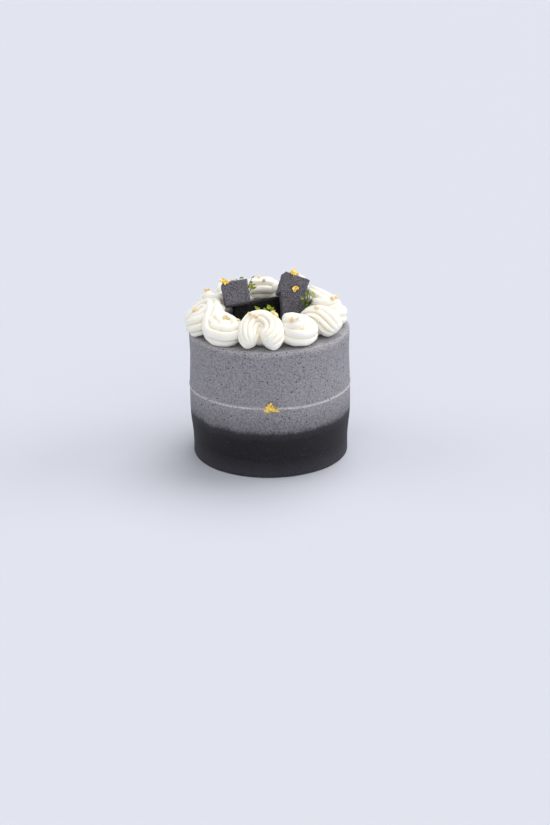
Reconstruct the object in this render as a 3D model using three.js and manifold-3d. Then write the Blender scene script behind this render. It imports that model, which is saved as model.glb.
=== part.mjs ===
// A small, tall sponge cake under a smooth grey coat that darkens to charcoal near the foot.
// A ring of piped cream swirls stands on the top face, round cut pieces of dark sponge,
// small green sprigs, nut bits and flakes of gold leaf.
//
// Units are millimetres, +Z is up, the cake stands on z = 0 with its axis on the origin.
// Ring angles are degrees from the front (-Y) towards the right (+X).

import * as THREE from 'three';
import { ParametricGeometry } from 'three/addons/geometries/ParametricGeometry.js';
import { mergeVertices } from 'three/addons/utils/BufferGeometryUtils.js';
import Module from 'manifold-3d';

// ---------------------------------------------------------------- driving dimensions

const CLEARANCE = 0.3;            // gap kept between neighbouring solids
const WELD_DISTANCE = 0.0005;     // vertices closer than this are one vertex
const SLIVER = 0.03;              // edges that a cut leaves shorter than this are closed
const TWIN_GAP = 0.01;            // distance that parts two vertices in one place

// Cake body: outside radius of the coat at each height, from the foot to the rim.
const CAKE_HEIGHT = 122.9;
const BODY_SIDES = 48;
const BODY_PROFILE = [
  { height: 0.0, radius: 72.4 },
  { height: 1.2, radius: 73.5 },
  { height: 8.0, radius: 73.5 },
  { height: 16.0, radius: 73.4 },
  { height: 24.0, radius: 74.0 },
  { height: 32.0, radius: 75.0 },
  { height: 41.0, radius: 75.9 },
  { height: 67.7, radius: 76.0 },
  { height: 68.5, radius: 76.7 },  // raised line round the coat
  { height: 69.7, radius: 76.7 },
  { height: 70.5, radius: 75.8 },
  { height: 84.0, radius: 75.4 },
  { height: 98.0, radius: 74.8 },
  { height: 112.0, radius: 75.1 },
  { height: 120.4, radius: 75.1 },
  { height: 122.2, radius: 74.3 },
  { height: CAKE_HEIGHT, radius: 72.6 },
];
const TOP_TILT = THREE.MathUtils.degToRad(0.87);  // the top face rises to the right
const TILT_START = 75.0;                          // the coat is upright below this height

// Piped cream: one ribbed rope per swirl, over a low mound.
const RING_RADIUS = 53.0;         // axis of the cake to the middle of a swirl
const CREASE_RATIO = 0.76;        // radius at a crease over radius on a rib
const ROPE_LOBES = 5;             // ribs round the rope, where a swirl names no other number
const ROPE_TWIST = 0.2;           // turns of the ribs over one rope
const TIP_SHARE = 0.06;           // part of the rope over which each end is rounded off
const MOUND = [13.0, 11.0, 10.0]; // half sizes of the mound under the rope

// Ways of the nozzle in a swirl's own frame: x runs along the ring to the right, y towards
// the cake's axis and z up from the top face. Each point ends with the rope's radius.
const PIPING = {
  // Sweeps round the outside and ends on top of itself, leaning outwards.
  curl: {
    steps: 26,
    segments: 3,
    way: [
      [-11.5, 5.0, 14.0, 7.4],
      [-10.8, -3.0, 11.0, 8.9],
      [-4.8, -8.6, 9.3, 9.5],
      [4.2, -8.8, 9.2, 9.6],
      [10.2, -3.0, 10.8, 9.5],
      [9.2, 5.0, 14.0, 9.4],
      [2.0, 8.0, 17.0, 9.2],
      [-5.0, 5.0, 18.6, 9.2],
      [-6.6, -1.0, 19.6, 9.2],
      [-2.6, -3.8, 20.3, 9.0],
      [1.5, -1.0, 21.0, 8.6],
    ],
  },
  // A curl that comes down from its taller neighbour.
  sweep: {
    steps: 28,
    segments: 3,
    way: [
      [-25.0, 11.0, 22.0, 8.2],
      [-18.5, 5.5, 19.5, 9.6],
      [-11.6, -3.0, 13.6, 10.0],
      [-3.8, -9.0, 9.6, 9.8],
      [5.4, -9.0, 9.2, 9.6],
      [12.5, -4.0, 9.6, 9.4],
      [9.6, 4.0, 11.0, 9.0],
      [1.0, 6.0, 13.4, 9.0],
      [-6.0, 3.0, 15.6, 8.8],
      [-5.6, -3.0, 16.2, 8.4],
      [1.0, -3.4, 15.4, 8.0],
    ],
  },
  // Goes up over the ring and comes back, so both ends point outwards.
  fold: {
    steps: 18,
    segments: 2,
    way: [
      [-5.4, -17.2, 5.2, 6.0],
      [-8.6, -11.8, 9.0, 8.6],
      [-9.8, -4.0, 14.5, 9.6],
      [-6.6, 3.2, 18.4, 10.0],
      [1.0, 5.2, 19.4, 10.0],
      [8.4, 1.0, 17.0, 10.0],
      [11.2, -6.5, 12.4, 10.6],
      [9.6, -12.2, 9.6, 10.4],
      [5.0, -16.6, 6.4, 7.4],
    ],
  },
  // Comes up once from the inside and runs down to the rim.
  shell: {
    steps: 10,
    segments: 1,
    way: [
      [0.0, 13.0, 7.0, 8.0],
      [0.0, 9.0, 15.0, 9.4],
      [0.0, 1.0, 17.6, 10.0],
      [0.0, -6.5, 14.4, 11.2],
      [0.0, -13.0, 9.6, 11.0],
      [0.0, -18.6, 5.0, 7.0],
    ],
  },
};

// Each swirl fills the ring from the end of the last one up to its own end angle.
const RING_START = -123.5;
const SWIRLS = [
  { name: 'swirl_01', kind: 'curl', angle: -108, end: -94, scale: 1.14, yaw: 10, mirror: true },
  { name: 'swirl_02', kind: 'fold', angle: -80, end: -67, scale: 1.06, outward: 4, lobes: 7 },
  { name: 'swirl_03', kind: 'sweep', angle: -46.5, end: -28, scale: 1.06, outward: 3 },
  { name: 'swirl_04', kind: 'fold', angle: -8, end: 10, scale: 1.06, lobes: 8, twist: 0.1 },
  { name: 'swirl_05', kind: 'curl', angle: 27.5, end: 44.5, scale: 1.0, outward: 2 },
  {
    name: 'swirl_06', kind: 'shell', angle: 60, end: 75, scale: 1.0, width: 1.3, lobes: 11,
    twist: 0.04,
  },
  { name: 'swirl_07', kind: 'curl', angle: 92, end: 108, scale: 1.0, outward: 2 },
  { name: 'swirl_08', kind: 'fold', angle: 124, end: 140, scale: 1.03, lobes: 7 },
  { name: 'swirl_09', kind: 'curl', angle: 157, end: 173.5, scale: 1.18 },
  { name: 'swirl_10', kind: 'fold', angle: 190, end: 205.5, scale: 1.16, lobes: 7 },
  { name: 'swirl_11', kind: 'curl', angle: 221, end: 236.5, scale: 1.14, mirror: true },
];

// Nut bits pressed into the cream: ring angle, distance from the axis, longest side.
const NUT_SINK = 0.3;             // part of a bit that is pressed in
const NUTS = {
  swirl_01: [[-103.6, 63.5, 6.0], [-109.1, 60.1, 3.2]],
  swirl_02: [[-75.9, 70.0, 5.5], [-80.0, 46.0, 4.4]],
  swirl_03: [[-37.0, 60.5, 6.0], [-34.5, 50.0, 3.6]],
  swirl_04: [[-18.0, 58.8, 4.0], [-12.6, 56.2, 5.0], [-8.2, 58.4, 3.6]],
  swirl_05: [[8.0, 45.0, 6.4], [23.0, 60.0, 4.4]],
  swirl_06: [[59.0, 51.7, 4.5], [54.0, 54.4, 4.0]],
  swirl_07: [[92.4, 61.0, 5.4], [88.5, 64.5, 4.2], [91.3, 40.0, 4.0]],
  swirl_08: [[120.0, 55.0, 4.6], [129.0, 60.0, 3.6]],
  swirl_09: [[150.0, 58.0, 5.0], [161.0, 52.0, 4.0]],
  swirl_10: [[184.1, 51.3, 4.5], [188.1, 59.7, 4.2]],
  swirl_11: [[212.2, 62.0, 4.2], [224.0, 54.0, 4.8]],
};

// Cut sponge: width, depth and height of each piece, its middle above the top face, and
// its turns about X, Y and Z in degrees.
const SPONGE = {
  sponge_left: {
    size: [23.3, 22.5, 21.4], centre: [-30.3, 2.0, 32.0], turn: [-26, -8.7, 5.5], seed: 11,
  },
  sponge_upper: {
    size: [21.6, 23.0, 20.6], centre: [23.1, 20.0, 31.9], turn: [-27.7, 20.7, 10.4], seed: 23,
  },
  sponge_lower: {
    size: [20.5, 20.0, 36.0], centre: [22.6, 10.2, 15.5], turn: [-15, -5, 6], seed: 37,
  },
  sponge_slab: {
    size: [44.0, 7.0, 22.6], centre: [-9.6, 12.7, 9.6], turn: [-3, -3.5, 28], seed: 51,
  },
};
const CRUMB_RELIEF = 0.4;         // depth of the crumb's unevenness
const CUT_STEPS = 3;              // facets along each side of a cut piece

// Gold leaf: crumpled flakes lying on what carries them.
const GOLD_THICKNESS = 1.1;
const GOLD_CRUMPLE = 1.3;
const GOLD_ON_SPONGE = [
  { on: 'sponge_left', at: [-41.0, -5.2, 47.6], size: [9.0, 6.4], turn: [50, 10, 15], seed: 5 },
  { on: 'sponge_upper', at: [22.6, 13.2, 47.4], size: [7.2, 8.0], turn: [65, 30, 10], seed: 8 },
  { on: 'sponge_upper', at: [24.2, 6.9, 33.6], size: [7.4, 6.0], turn: [62, 20, 0], seed: 13 },
];
const GOLD_ON_LINE = { at: [0.4, -76.6, 69.6], size: [13.4, 10.0], turn: [90, -12, 0], seed: 21 };

// Sprigs: stems from one root to each tip, with pairs of leaves.
const STEM_RADIUS = 0.55;
const LEAF_THICKNESS = 0.8;
const SPRIGS = {
  sprig_left: {
    root: [-15.6, 17.6, 6.0], leaf: [5.6, 2.8], pairs: 2, seed: 3,
    tips: [[-13.4, 19.8, 44.5], [-10.4, 18.6, 29.0]],
  },
  sprig_front: {
    root: [-4.0, -6.0, 3.0], leaf: [5.6, 4.2], pairs: 1, seed: 7,
    tips: [[-12.4, -12.5, 22.6], [-4.6, -13.4, 20.6], [1.6, -12.2, 23.6]],
  },
  sprig_right: {
    root: [35.0, 3.2, 14.0], leaf: [6.4, 1.9], pairs: 1, seed: 9,
    tips: [[33.9, 1.0, 34.0], [41.2, 0.4, 31.8], [40.6, -3.6, 24.0]],
  },
  sprig_back: {
    root: [-27.4, 22.6, 30.0], leaf: [4.8, 2.6], pairs: 1, seed: 15,
    tips: [[-24.4, 22.0, 44.6], [-30.2, 22.4, 43.2]],
  },
};

// ---------------------------------------------------------------- materials

const coat = new THREE.MeshStandardMaterial({ color: 0x858189, roughness: 0.75 });
const cream = new THREE.MeshStandardMaterial({ color: 0xf6f4ee, roughness: 0.45 });
const sponge = new THREE.MeshStandardMaterial({ color: 0x4a484e, roughness: 0.9 });
const leaf = new THREE.MeshStandardMaterial({ color: 0x6f8f2c, roughness: 0.55 });

// ---------------------------------------------------------------- small helpers

const wasm = await Module();
wasm.setup();

const { smoothstep, degToRad } = THREE.MathUtils;

// Repeatable random numbers from 0 up to 1.
function randomFrom(seed) {
  let state = (seed * 2654435761) >>> 0;
  return () => {
    state = (Math.imul(state, 1664525) + 1013904223) >>> 0;
    return state / 4294967296;
  };
}

function signedVolume(position, triangles) {
  const [a, b, c] = [new THREE.Vector3(), new THREE.Vector3(), new THREE.Vector3()];
  let volume = 0;
  for (let i = 0; i < triangles.length; i += 3) {
    a.fromArray(position, 3 * triangles[i]);
    b.fromArray(position, 3 * triangles[i + 1]);
    c.fromArray(position, 3 * triangles[i + 2]);
    volume += a.dot(b.cross(c)) / 6;
  }
  return volume;
}

// Welds a closed geometry, drops the triangles that collapse at its poles and turns it
// outside out, then hands it to the boolean library.
function toSolid(geometry) {
  const bare = new THREE.BufferGeometry();
  bare.setAttribute('position', geometry.getAttribute('position'));
  bare.setIndex(geometry.getIndex());
  const welded = mergeVertices(bare, WELD_DISTANCE);
  const position = welded.getAttribute('position').array;
  const index = welded.getIndex().array;
  const triangles = [];
  for (let i = 0; i < index.length; i += 3) {
    const [a, b, c] = index.slice(i, i + 3);
    if (a !== b && b !== c && c !== a) triangles.push(a, b, c);
  }
  if (signedVolume(position, triangles) < 0) triangles.reverse();
  return new wasm.Manifold(new wasm.Mesh({
    numProp: 3,
    vertProperties: new Float32Array(position),
    triVerts: new Uint32Array(triangles),
  }));
}

function toGeometry(solid) {
  const { vertProperties, triVerts } = solid.getMesh();
  const geometry = new THREE.BufferGeometry();
  geometry.setAttribute('position', new THREE.BufferAttribute(new Float32Array(vertProperties), 3));
  geometry.setIndex(new THREE.BufferAttribute(new Uint32Array(triVerts), 1));
  geometry.computeVertexNormals();
  partTwins(geometry);
  return geometry;
}

// Where two folds of one surface touch, their vertices coincide: each later one is drawn
// back under its own surface, so that the solid stays clear of itself.
function partTwins(geometry) {
  const position = geometry.getAttribute('position');
  const normal = geometry.getAttribute('normal');
  const point = new THREE.Vector3();
  const inward = new THREE.Vector3();
  const taken = new Set();
  for (let i = 0; i < position.count; i += 1) {
    point.fromBufferAttribute(position, i);
    inward.fromBufferAttribute(normal, i).multiplyScalar(-TWIN_GAP);
    const key = () => point.toArray().map((value) => Math.round(value / WELD_DISTANCE)).join();
    while (taken.has(key())) point.add(inward);
    taken.add(key());
    position.setXYZ(i, point.x, point.y, point.z);
  }
}

// The largest connected body of a solid.
function largest(solid) {
  const bodies = solid.decompose();
  bodies.sort((a, b) => b.volume() - a.volume());
  return bodies[0];
}

function joinAll(solids) {
  return solids.reduce((whole, solid) => whole.add(solid));
}

function named(name, solid, material) {
  const mesh = new THREE.Mesh(toGeometry(largest(solid.simplify(SLIVER))), material);
  mesh.name = name;
  return mesh;
}

// Turn about X, Y and Z in degrees, then a shift.
function placement(turn, at) {
  const euler = new THREE.Euler(...turn.map(degToRad), 'XYZ');
  return new THREE.Matrix4().makeRotationFromEuler(euler).setPosition(...at);
}

// ---------------------------------------------------------------- cake body

function cakeBody() {
  const outline = BODY_PROFILE.map(({ height, radius }) => new THREE.Vector2(radius, height));
  const closed = [new THREE.Vector2(0, 0), ...outline, new THREE.Vector2(0, CAKE_HEIGHT)];
  const geometry = new THREE.LatheGeometry(closed, BODY_SIDES).rotateX(Math.PI / 2);
  const position = geometry.getAttribute('position');
  for (let i = 0; i < position.count; i += 1) {
    const height = position.getZ(i);
    const share = smoothstep(height, TILT_START, CAKE_HEIGHT);
    position.setZ(i, height + share * Math.tan(TOP_TILT) * position.getX(i));
  }
  return toSolid(geometry);
}

// ---------------------------------------------------------------- piped cream

// A closed stretch of rope between two of its rings. The first and last rows of the
// surface gather in the middle of their ring, which caps the ends.
function ropeStretch(rings, from, to) {
  const rows = to - from + 2;
  const points = rings[from].corners.length;
  const surface = (u, v, target) => {
    const row = Math.round(v * rows);
    const ring = rings[THREE.MathUtils.clamp(from + row - 1, from, to)];
    const isCap = row === 0 || row === rows;
    target.copy(isCap ? ring.middle : ring.corners[Math.round(u * points) % points]);
  };
  return toSolid(new ParametricGeometry(surface, points, rows));
}

// The ribbed rings of a rope. A way's last value, the radius, is led through its points by
// the same spline as the middle line.
function ropeRings({ way, steps }, lobes, twist) {
  const spline = (points) => new THREE.CatmullRomCurve3(points, false, 'catmullrom', 0.5);
  const line = spline(way.map(([x, y, z]) => new THREE.Vector3(x, y, z)));
  const radii = spline(way.map(([, , , radius]) => new THREE.Vector3(radius, 0, 0)));
  const frames = line.computeFrenetFrames(steps, false);
  const points = 2 * lobes;
  return Array.from({ length: steps + 1 }, (_, i) => {
    const t = i / steps;
    const middle = line.getPointAt(t);
    const inward = 1 - THREE.MathUtils.clamp(Math.min(t, 1 - t) / TIP_SHARE, 0.12, 1);
    const radius = radii.getPoint(line.getUtoTmapping(t)).x * Math.sqrt(1 - inward ** 2);
    const corners = Array.from({ length: points }, (unused, j) => {
      const angle = 2 * Math.PI * (j / points + twist * t);
      const reach = radius * (j % 2 === 0 ? 1 : CREASE_RATIO);
      return middle.clone()
        .addScaledVector(frames.normals[i], reach * Math.cos(angle))
        .addScaledVector(frames.binormals[i], reach * Math.sin(angle));
    });
    return { corners, middle };
  });
}

function swirlRope(spec) {
  const { kind, angle, scale, mirror = false, outward = 0, yaw = 0, width = 1 } = spec;
  const { lobes = ROPE_LOBES, twist = ROPE_TWIST } = spec;
  const { steps, segments } = PIPING[kind];
  const rings = ropeRings(PIPING[kind], lobes, twist);
  const across = width * (mirror ? -scale : scale);
  const toRing = new THREE.Matrix4().makeRotationZ(degToRad(angle))
    .multiply(new THREE.Matrix4().makeTranslation(0, -RING_RADIUS - outward, 0))
    .multiply(new THREE.Matrix4().makeRotationZ(degToRad(yaw)))
    .multiply(new THREE.Matrix4().makeScale(across, scale, scale));
  for (const { corners, middle } of rings) {
    [middle, ...corners].forEach((point) => point.applyMatrix4(toRing));
  }
  const mound = new THREE.IcosahedronGeometry(1, 1).scale(...MOUND)
    .translate(0, 0, MOUND[2]).applyMatrix4(toRing);
  const stretch = steps / segments;
  const parts = Array.from({ length: segments }, (_, i) => (
    ropeStretch(rings, Math.round(i * stretch), Math.round((i + 1) * stretch))));
  return joinAll([...parts, toSolid(mound)]);
}

// The share of the ring between two angles, above the top face: a prism whose sides keep
// half the clearance to each neighbour.
function ringShare(start, end) {
  const reach = 120;
  const apex = (CLEARANCE / 2) / Math.sin(degToRad((end - start) / 2));
  const outward = (angle, distance) => new THREE.Vector2(
    distance * Math.sin(degToRad(angle)), -distance * Math.cos(degToRad(angle)));
  const middle = outward((start + end) / 2, apex);
  const shape = new THREE.Shape([
    middle,
    outward(start, reach).add(middle),
    outward(end, reach).add(middle),
  ]);
  const prism = new THREE.ExtrudeGeometry(shape, { depth: 80, bevelEnabled: false });
  return toSolid(prism.translate(0, 0, CLEARANCE));
}

// An uneven nut bit standing on a swirl: a ray from above finds the cream's surface.
function nutBit([angle, distance, length], ground, random) {
  const x = distance * Math.sin(degToRad(angle));
  const y = -distance * Math.cos(degToRad(angle));
  const down = new THREE.Raycaster(new THREE.Vector3(x, y, 100), new THREE.Vector3(0, 0, -1));
  const [hit] = down.intersectObject(ground);
  if (!hit) return null;
  const size = [length / 2, length * (0.3 + 0.12 * random()), length * (0.26 + 0.08 * random())];
  const bit = new THREE.IcosahedronGeometry(1, 0).scale(...size)
    .rotateX(0.8 * (random() - 0.5)).rotateZ(2 * Math.PI * random())
    .translate(x, y, hit.point.z + (1 - 2 * NUT_SINK) * size[2]);
  return toSolid(bit);
}

function swirl(spec, start, obstacles) {
  let solid = swirlRope(spec).intersect(ringShare(start, spec.end));
  solid = largest(solid.subtract(obstacles));
  const material = new THREE.MeshBasicMaterial({ side: THREE.DoubleSide });
  const ground = new THREE.Mesh(toGeometry(solid), material);
  const random = randomFrom(Math.round(400 + spec.angle));
  for (const nut of NUTS[spec.name]) {
    const bit = nutBit(nut, ground, random);
    if (bit) solid = solid.add(bit);
  }
  return solid.intersect(ringShare(start, spec.end)).subtract(obstacles);
}

// ---------------------------------------------------------------- cut sponge

// Slow waves over a cut face, the same for a piece and for its grown copy.
function crumb(point, seed) {
  const { x, y, z } = point;
  const waves = Math.sin(0.61 * x + 1.7 * seed) + Math.sin(0.73 * y + 0.9 * seed)
    + Math.sin(0.67 * z + 2.3 * seed) + Math.sin(0.5 * (x - y + z) + seed);
  return CRUMB_RELIEF * waves / 2.5;
}

function spongePiece({ size, centre, turn, seed }, grow = 0) {
  const [width, depth, height] = size;
  const geometry = new THREE.BoxGeometry(width, depth, height, CUT_STEPS, CUT_STEPS, CUT_STEPS);
  const position = geometry.getAttribute('position');
  const point = new THREE.Vector3();
  const outward = new THREE.Vector3();
  for (let i = 0; i < position.count; i += 1) {
    point.fromBufferAttribute(position, i);
    outward.set(
      Math.abs(point.x) > 0.499 * width ? Math.sign(point.x) : 0,
      Math.abs(point.y) > 0.499 * depth ? Math.sign(point.y) : 0,
      Math.abs(point.z) > 0.499 * height ? Math.sign(point.z) : 0,
    );
    const wear = outward.lengthSq() > 1 ? 0.35 : 0;   // edges and corners are rubbed off
    point.addScaledVector(outward, grow - wear + crumb(point, seed));
    position.setXYZ(i, point.x, point.y, point.z);
  }
  return toSolid(geometry.applyMatrix4(placement(turn, centre)));
}

// ---------------------------------------------------------------- flakes and leaves

// A thin closed pillow on a plan of length and width: both faces have the same facets and
// bend(x, y) lifts the sheet off its plane.
function thinSheet(length, width, thickness, rows, widthAt, bend) {
  const points = 6;
  const surface = (u, v, target) => {
    const across = Math.cos(2 * Math.PI * u);
    const x = length * (v - 0.5);
    const y = 0.5 * width * widthAt(v) * across;
    const side = Math.sign(Math.round(1000 * Math.sin(2 * Math.PI * u)));
    const rim = widthAt(v) < 0.01 ? 0 : 1;
    target.set(x, y, bend(x, y) + 0.5 * thickness * side * rim * (1 - 0.6 * Math.abs(across)));
  };
  return new ParametricGeometry(surface, points, rows);
}

function goldFlake({ at, size, turn, seed }) {
  const random = randomFrom(seed);
  const phase = [6 * random(), 6 * random(), 6 * random()];
  const [length, width] = size;
  const edge = (v) => (v < 0.01 || v > 0.99 ? 0 : 0.8 + 0.2 * Math.sin(9 * v + phase[0]));
  const crumple = (x, y) => GOLD_CRUMPLE * 0.5
    * (Math.sin(1.1 * x + phase[1]) + Math.sin(1.3 * y + 0.6 * x + phase[2]));
  return toSolid(thinSheet(length, width, GOLD_THICKNESS, 5, edge, crumple)
    .applyMatrix4(placement(turn, at)));
}

function leafBlade(length, width, random) {
  const outline = (v) => (v < 0.01 || v > 0.99 ? 0 : Math.sin(Math.PI * v ** 0.8));
  const curl = 0.05 + 0.06 * random();
  const wave = 0.25 + 0.2 * random();
  const bend = (x, y) => curl * x * x + wave * Math.sin(1.4 * x + y) + 0.12 * y * y;
  return thinSheet(length, width, LEAF_THICKNESS, 3, outline, bend)
    .translate(0.5 * length, 0, -bend(-0.5 * length, 0));
}

function stem(root, tip, random) {
  const middle = root.clone().lerp(tip, 0.5);
  middle.x += 1.6 * (random() - 0.5);
  middle.y += 1.6 * (random() - 0.5);
  const line = new THREE.QuadraticBezierCurve3(root, middle, tip);
  const section = new THREE.Shape(Array.from({ length: 4 }, (_, i) => new THREE.Vector2(
    STEM_RADIUS * Math.cos(0.5 * Math.PI * i), STEM_RADIUS * Math.sin(0.5 * Math.PI * i))));
  const tube = new THREE.ExtrudeGeometry(section, { steps: 3, extrudePath: line });
  return { line, solid: toSolid(tube) };
}

function sprig({ root, tips, leaf: [length, width], pairs, seed }) {
  const random = randomFrom(seed);
  const parts = [];
  const base = new THREE.Vector3(...root);
  const xAxis = new THREE.Vector3(1, 0, 0);
  for (const tip of tips) {
    const { line, solid } = stem(base, new THREE.Vector3(...tip), random);
    parts.push(solid);
    for (let i = 0; i < 2 * pairs + 1; i += 1) {
      const along = i === 2 * pairs ? 0.985 : 0.62 + 0.36 * (i / (2 * pairs));
      const direction = line.getTangentAt(along);
      const spin = Math.PI * (i % 2) + 1.2 * random();
      const spread = i === 2 * pairs ? 0 : 0.9;
      const sideways = new THREE.Vector3(Math.cos(spin), Math.sin(spin), 0.2).normalize();
      direction.lerp(sideways, spread).normalize();
      const turn = new THREE.Quaternion().setFromUnitVectors(xAxis, direction);
      const size = length * (0.8 + 0.4 * random());
      const blade = leafBlade(size, width, random).applyQuaternion(turn)
        .translate(...line.getPointAt(along).addScaledVector(direction, -0.3).toArray());
      parts.push(toSolid(blade));
    }
  }
  return joinAll(parts);
}

// ---------------------------------------------------------------- assembly

// Everything on the top face stands in one group that shares the face's tilt.
const onTop = new THREE.Group();
onTop.position.z = CAKE_HEIGHT;
onTop.rotation.y = -TOP_TILT;

// A cut piece keeps clear of those that were set down before it.
const spongeSolids = {};
const grownSponge = {};
const aboveTop = toSolid(new THREE.BoxGeometry(300, 300, 100).translate(0, 0, 50 + CLEARANCE));
for (const [name, spec] of Object.entries(SPONGE)) {
  let solid = spongePiece(spec).intersect(aboveTop);
  for (const earlier of Object.values(grownSponge)) solid = solid.subtract(earlier);
  spongeSolids[name] = solid;
  grownSponge[name] = spongePiece(spec, CLEARANCE);
}
const obstacles = joinAll(Object.values(grownSponge));

let start = RING_START;
const swirlSolids = [];
for (const spec of SWIRLS) {
  const solid = swirl(spec, start, obstacles);
  swirlSolids.push(solid);
  onTop.add(named(spec.name, solid, cream));
  start = spec.end;
}

for (const flake of GOLD_ON_SPONGE) {
  const others = Object.keys(grownSponge).filter((name) => name !== flake.on);
  const clear = others.reduce((left, name) => left.subtract(grownSponge[name]), goldFlake(flake));
  spongeSolids[flake.on] = spongeSolids[flake.on].add(clear);
}
for (const [name, solid] of Object.entries(spongeSolids)) {
  onTop.add(named(name, solid, sponge));
}

for (const [name, spec] of Object.entries(SPRIGS)) {
  let solid = sprig(spec).intersect(aboveTop).subtract(obstacles);
  for (const neighbour of swirlSolids) solid = solid.subtract(neighbour);
  onTop.add(named(name, solid, leaf));
}

const group = new THREE.Group();
group.add(named('cake_body', cakeBody().add(goldFlake(GOLD_ON_LINE)), coat));
group.add(onTop);

export default group;
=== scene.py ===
"""A tall sponge cake, dressed for a studio picture.

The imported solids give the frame. Each of them is replaced by a finer surface of the same
form: the coated cake, the ring of piped cream, the cut pieces of dark sponge, the sprigs,
and the nut bits and gold leaf that lie on them. Lengths in the classes are millimetres and
become metres when a surface is made a mesh. The front of the cake is -Y, its right is +X.
"""

from __future__ import annotations

import logging
import math
from dataclasses import dataclass, field
from enum import Enum
from itertools import product
from typing import Any, NamedTuple

import bpy
import numpy as np
from bpy.types import Material, Mesh, Node, NodeSocket, Object
from mathutils import Euler, Matrix, Vector
from mathutils.bvhtree import BVHTree

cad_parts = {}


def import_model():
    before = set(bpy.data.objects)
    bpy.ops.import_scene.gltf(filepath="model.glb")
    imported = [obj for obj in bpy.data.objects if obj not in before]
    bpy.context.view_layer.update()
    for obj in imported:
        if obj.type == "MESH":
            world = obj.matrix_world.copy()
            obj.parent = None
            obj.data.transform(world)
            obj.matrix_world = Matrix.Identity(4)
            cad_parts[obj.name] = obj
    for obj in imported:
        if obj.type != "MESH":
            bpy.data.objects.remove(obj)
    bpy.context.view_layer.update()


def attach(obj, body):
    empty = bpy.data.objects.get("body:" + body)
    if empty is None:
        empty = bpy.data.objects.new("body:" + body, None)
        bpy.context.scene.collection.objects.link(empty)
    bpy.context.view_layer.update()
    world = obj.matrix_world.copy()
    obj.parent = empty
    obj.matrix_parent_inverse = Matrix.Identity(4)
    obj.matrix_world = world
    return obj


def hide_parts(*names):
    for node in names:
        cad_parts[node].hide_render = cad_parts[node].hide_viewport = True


LOG = logging.getLogger("sponge_cake")
Array = np.ndarray
Triple = tuple[float, float, float]
Stops = tuple[tuple[float, str], ...]
MM = 0.001


# ------------------------------------------------------------------ numbers and noise


def linear(hex_code: str) -> tuple[float, float, float, float]:
    """Turn an sRGB hex colour into the linear colour that shaders take.

    Args:
        hex_code: Six hex digits after a #.

    Returns:
        Red, green and blue, linear, and an alpha of 1.
    """
    channels = [int(hex_code[i : i + 2], 16) / 255 for i in (1, 3, 5)]
    red, green, blue = (
        c / 12.92 if c <= 0.04045 else ((c + 0.055) / 1.055) ** 2.4 for c in channels
    )
    return red, green, blue, 1.0


def smoothstep(x: Array, low: float, high: float) -> Array:
    """Blend from 0 at low to 1 at high as t²(3 - 2t), flat beyond both."""
    t = np.clip((x - low) / (high - low), 0.0, 1.0)
    return t * t * (3.0 - 2.0 * t)


def lattice_noise(points: Array, cell: float, seed: int) -> Array:
    """Smooth random values over space.

    The corners of a cubic lattice hold random values. A point's value is the sum over the
    eight corners round it of the corner's value times t²(3 - 2t) of its place in the cell.

    Args:
        points: Places, shape (..., 3), in millimetres.
        cell: Side of the lattice's cubes in millimetres.
        seed: Picks the random values.

    Returns:
        Values from -1 to 1, shape (...).
    """
    values = np.random.default_rng(seed).uniform(-1.0, 1.0, 4096)
    scaled = points / cell
    base = np.floor(scaled).astype(np.int64)
    weight = smoothstep(scaled - base, 0.0, 1.0)
    total = np.zeros(points.shape[:-1])
    for corner in product((0, 1), repeat=3):
        x, y, z = np.moveaxis(base + np.array(corner), -1, 0)
        # Large primes scatter the lattice's corners over the table of random values.
        place = (x * 73856093 ^ y * 19349663 ^ z * 83492791) & 4095
        share = np.prod(np.where(np.array(corner) == 1, weight, 1.0 - weight), axis=-1)
        total += share * values[place]
    return total


class Wave(NamedTuple):
    """Lattice noises in layers, each with half the cell and half the height of the last.

    The cell and the height of the first layer are in millimetres.
    """

    cell: float
    height: float
    layers: int = 1
    seed: int = 0

    def at(self, points: Array, seed: int = 0) -> Array:
        """Work out the wave over space.

        Args:
            points: Places, shape (..., 3), in millimetres.
            seed: Is added to the wave's own seed.

        Returns:
            Its height at the points, shape (...).
        """
        layers = (
            lattice_noise(points, self.cell / 2**i, self.seed + seed + 17 * i) / 2**i
            for i in range(self.layers)
        )
        return self.height * sum(layers)


class RepeatableDraw:
    """The same random numbers as the solids were drawn with."""

    def __init__(self, seed: int) -> None:
        """Start the row of numbers that the seed picks."""
        self.state = (seed * 2654435761) & 0xFFFFFFFF

    def __call__(self) -> float:
        """Give the next number, from 0 up to 1."""
        self.state = (self.state * 1664525 + 1013904223) & 0xFFFFFFFF
        return self.state / 4294967296


# ------------------------------------------------------------------ points and paths


def full_turn(count: int) -> Array:
    """Angles evenly round a circle, the last one a step short of the first."""
    return np.linspace(0, 2 * np.pi, count, endpoint=False)


def grid_points(x: Array, y: Array, z: Array | float) -> Array:
    """Spread three coordinates to one shape and stack them into points."""
    return np.stack(np.broadcast_arrays(x, y, z), axis=-1)


def sphere_ways(rows: int, columns: int) -> Array:
    """Directions from a sphere's middle by its two angles.

    Args:
        rows: Steps from the lower to the upper pole, both left out.
        columns: Steps round the axis.

    Returns:
        Unit vectors, shape (rows, columns, 3).
    """
    polar = np.linspace(0, np.pi, rows + 2)[1:-1, None]
    angle = full_turn(columns)
    return grid_points(
        np.sin(polar) * np.cos(angle), np.sin(polar) * np.sin(angle), -np.cos(polar)
    )


def unit(vectors: Array) -> Array:
    """Scale vectors along the last axis to length one."""
    return vectors / np.linalg.norm(vectors, axis=-1, keepdims=True)


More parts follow.
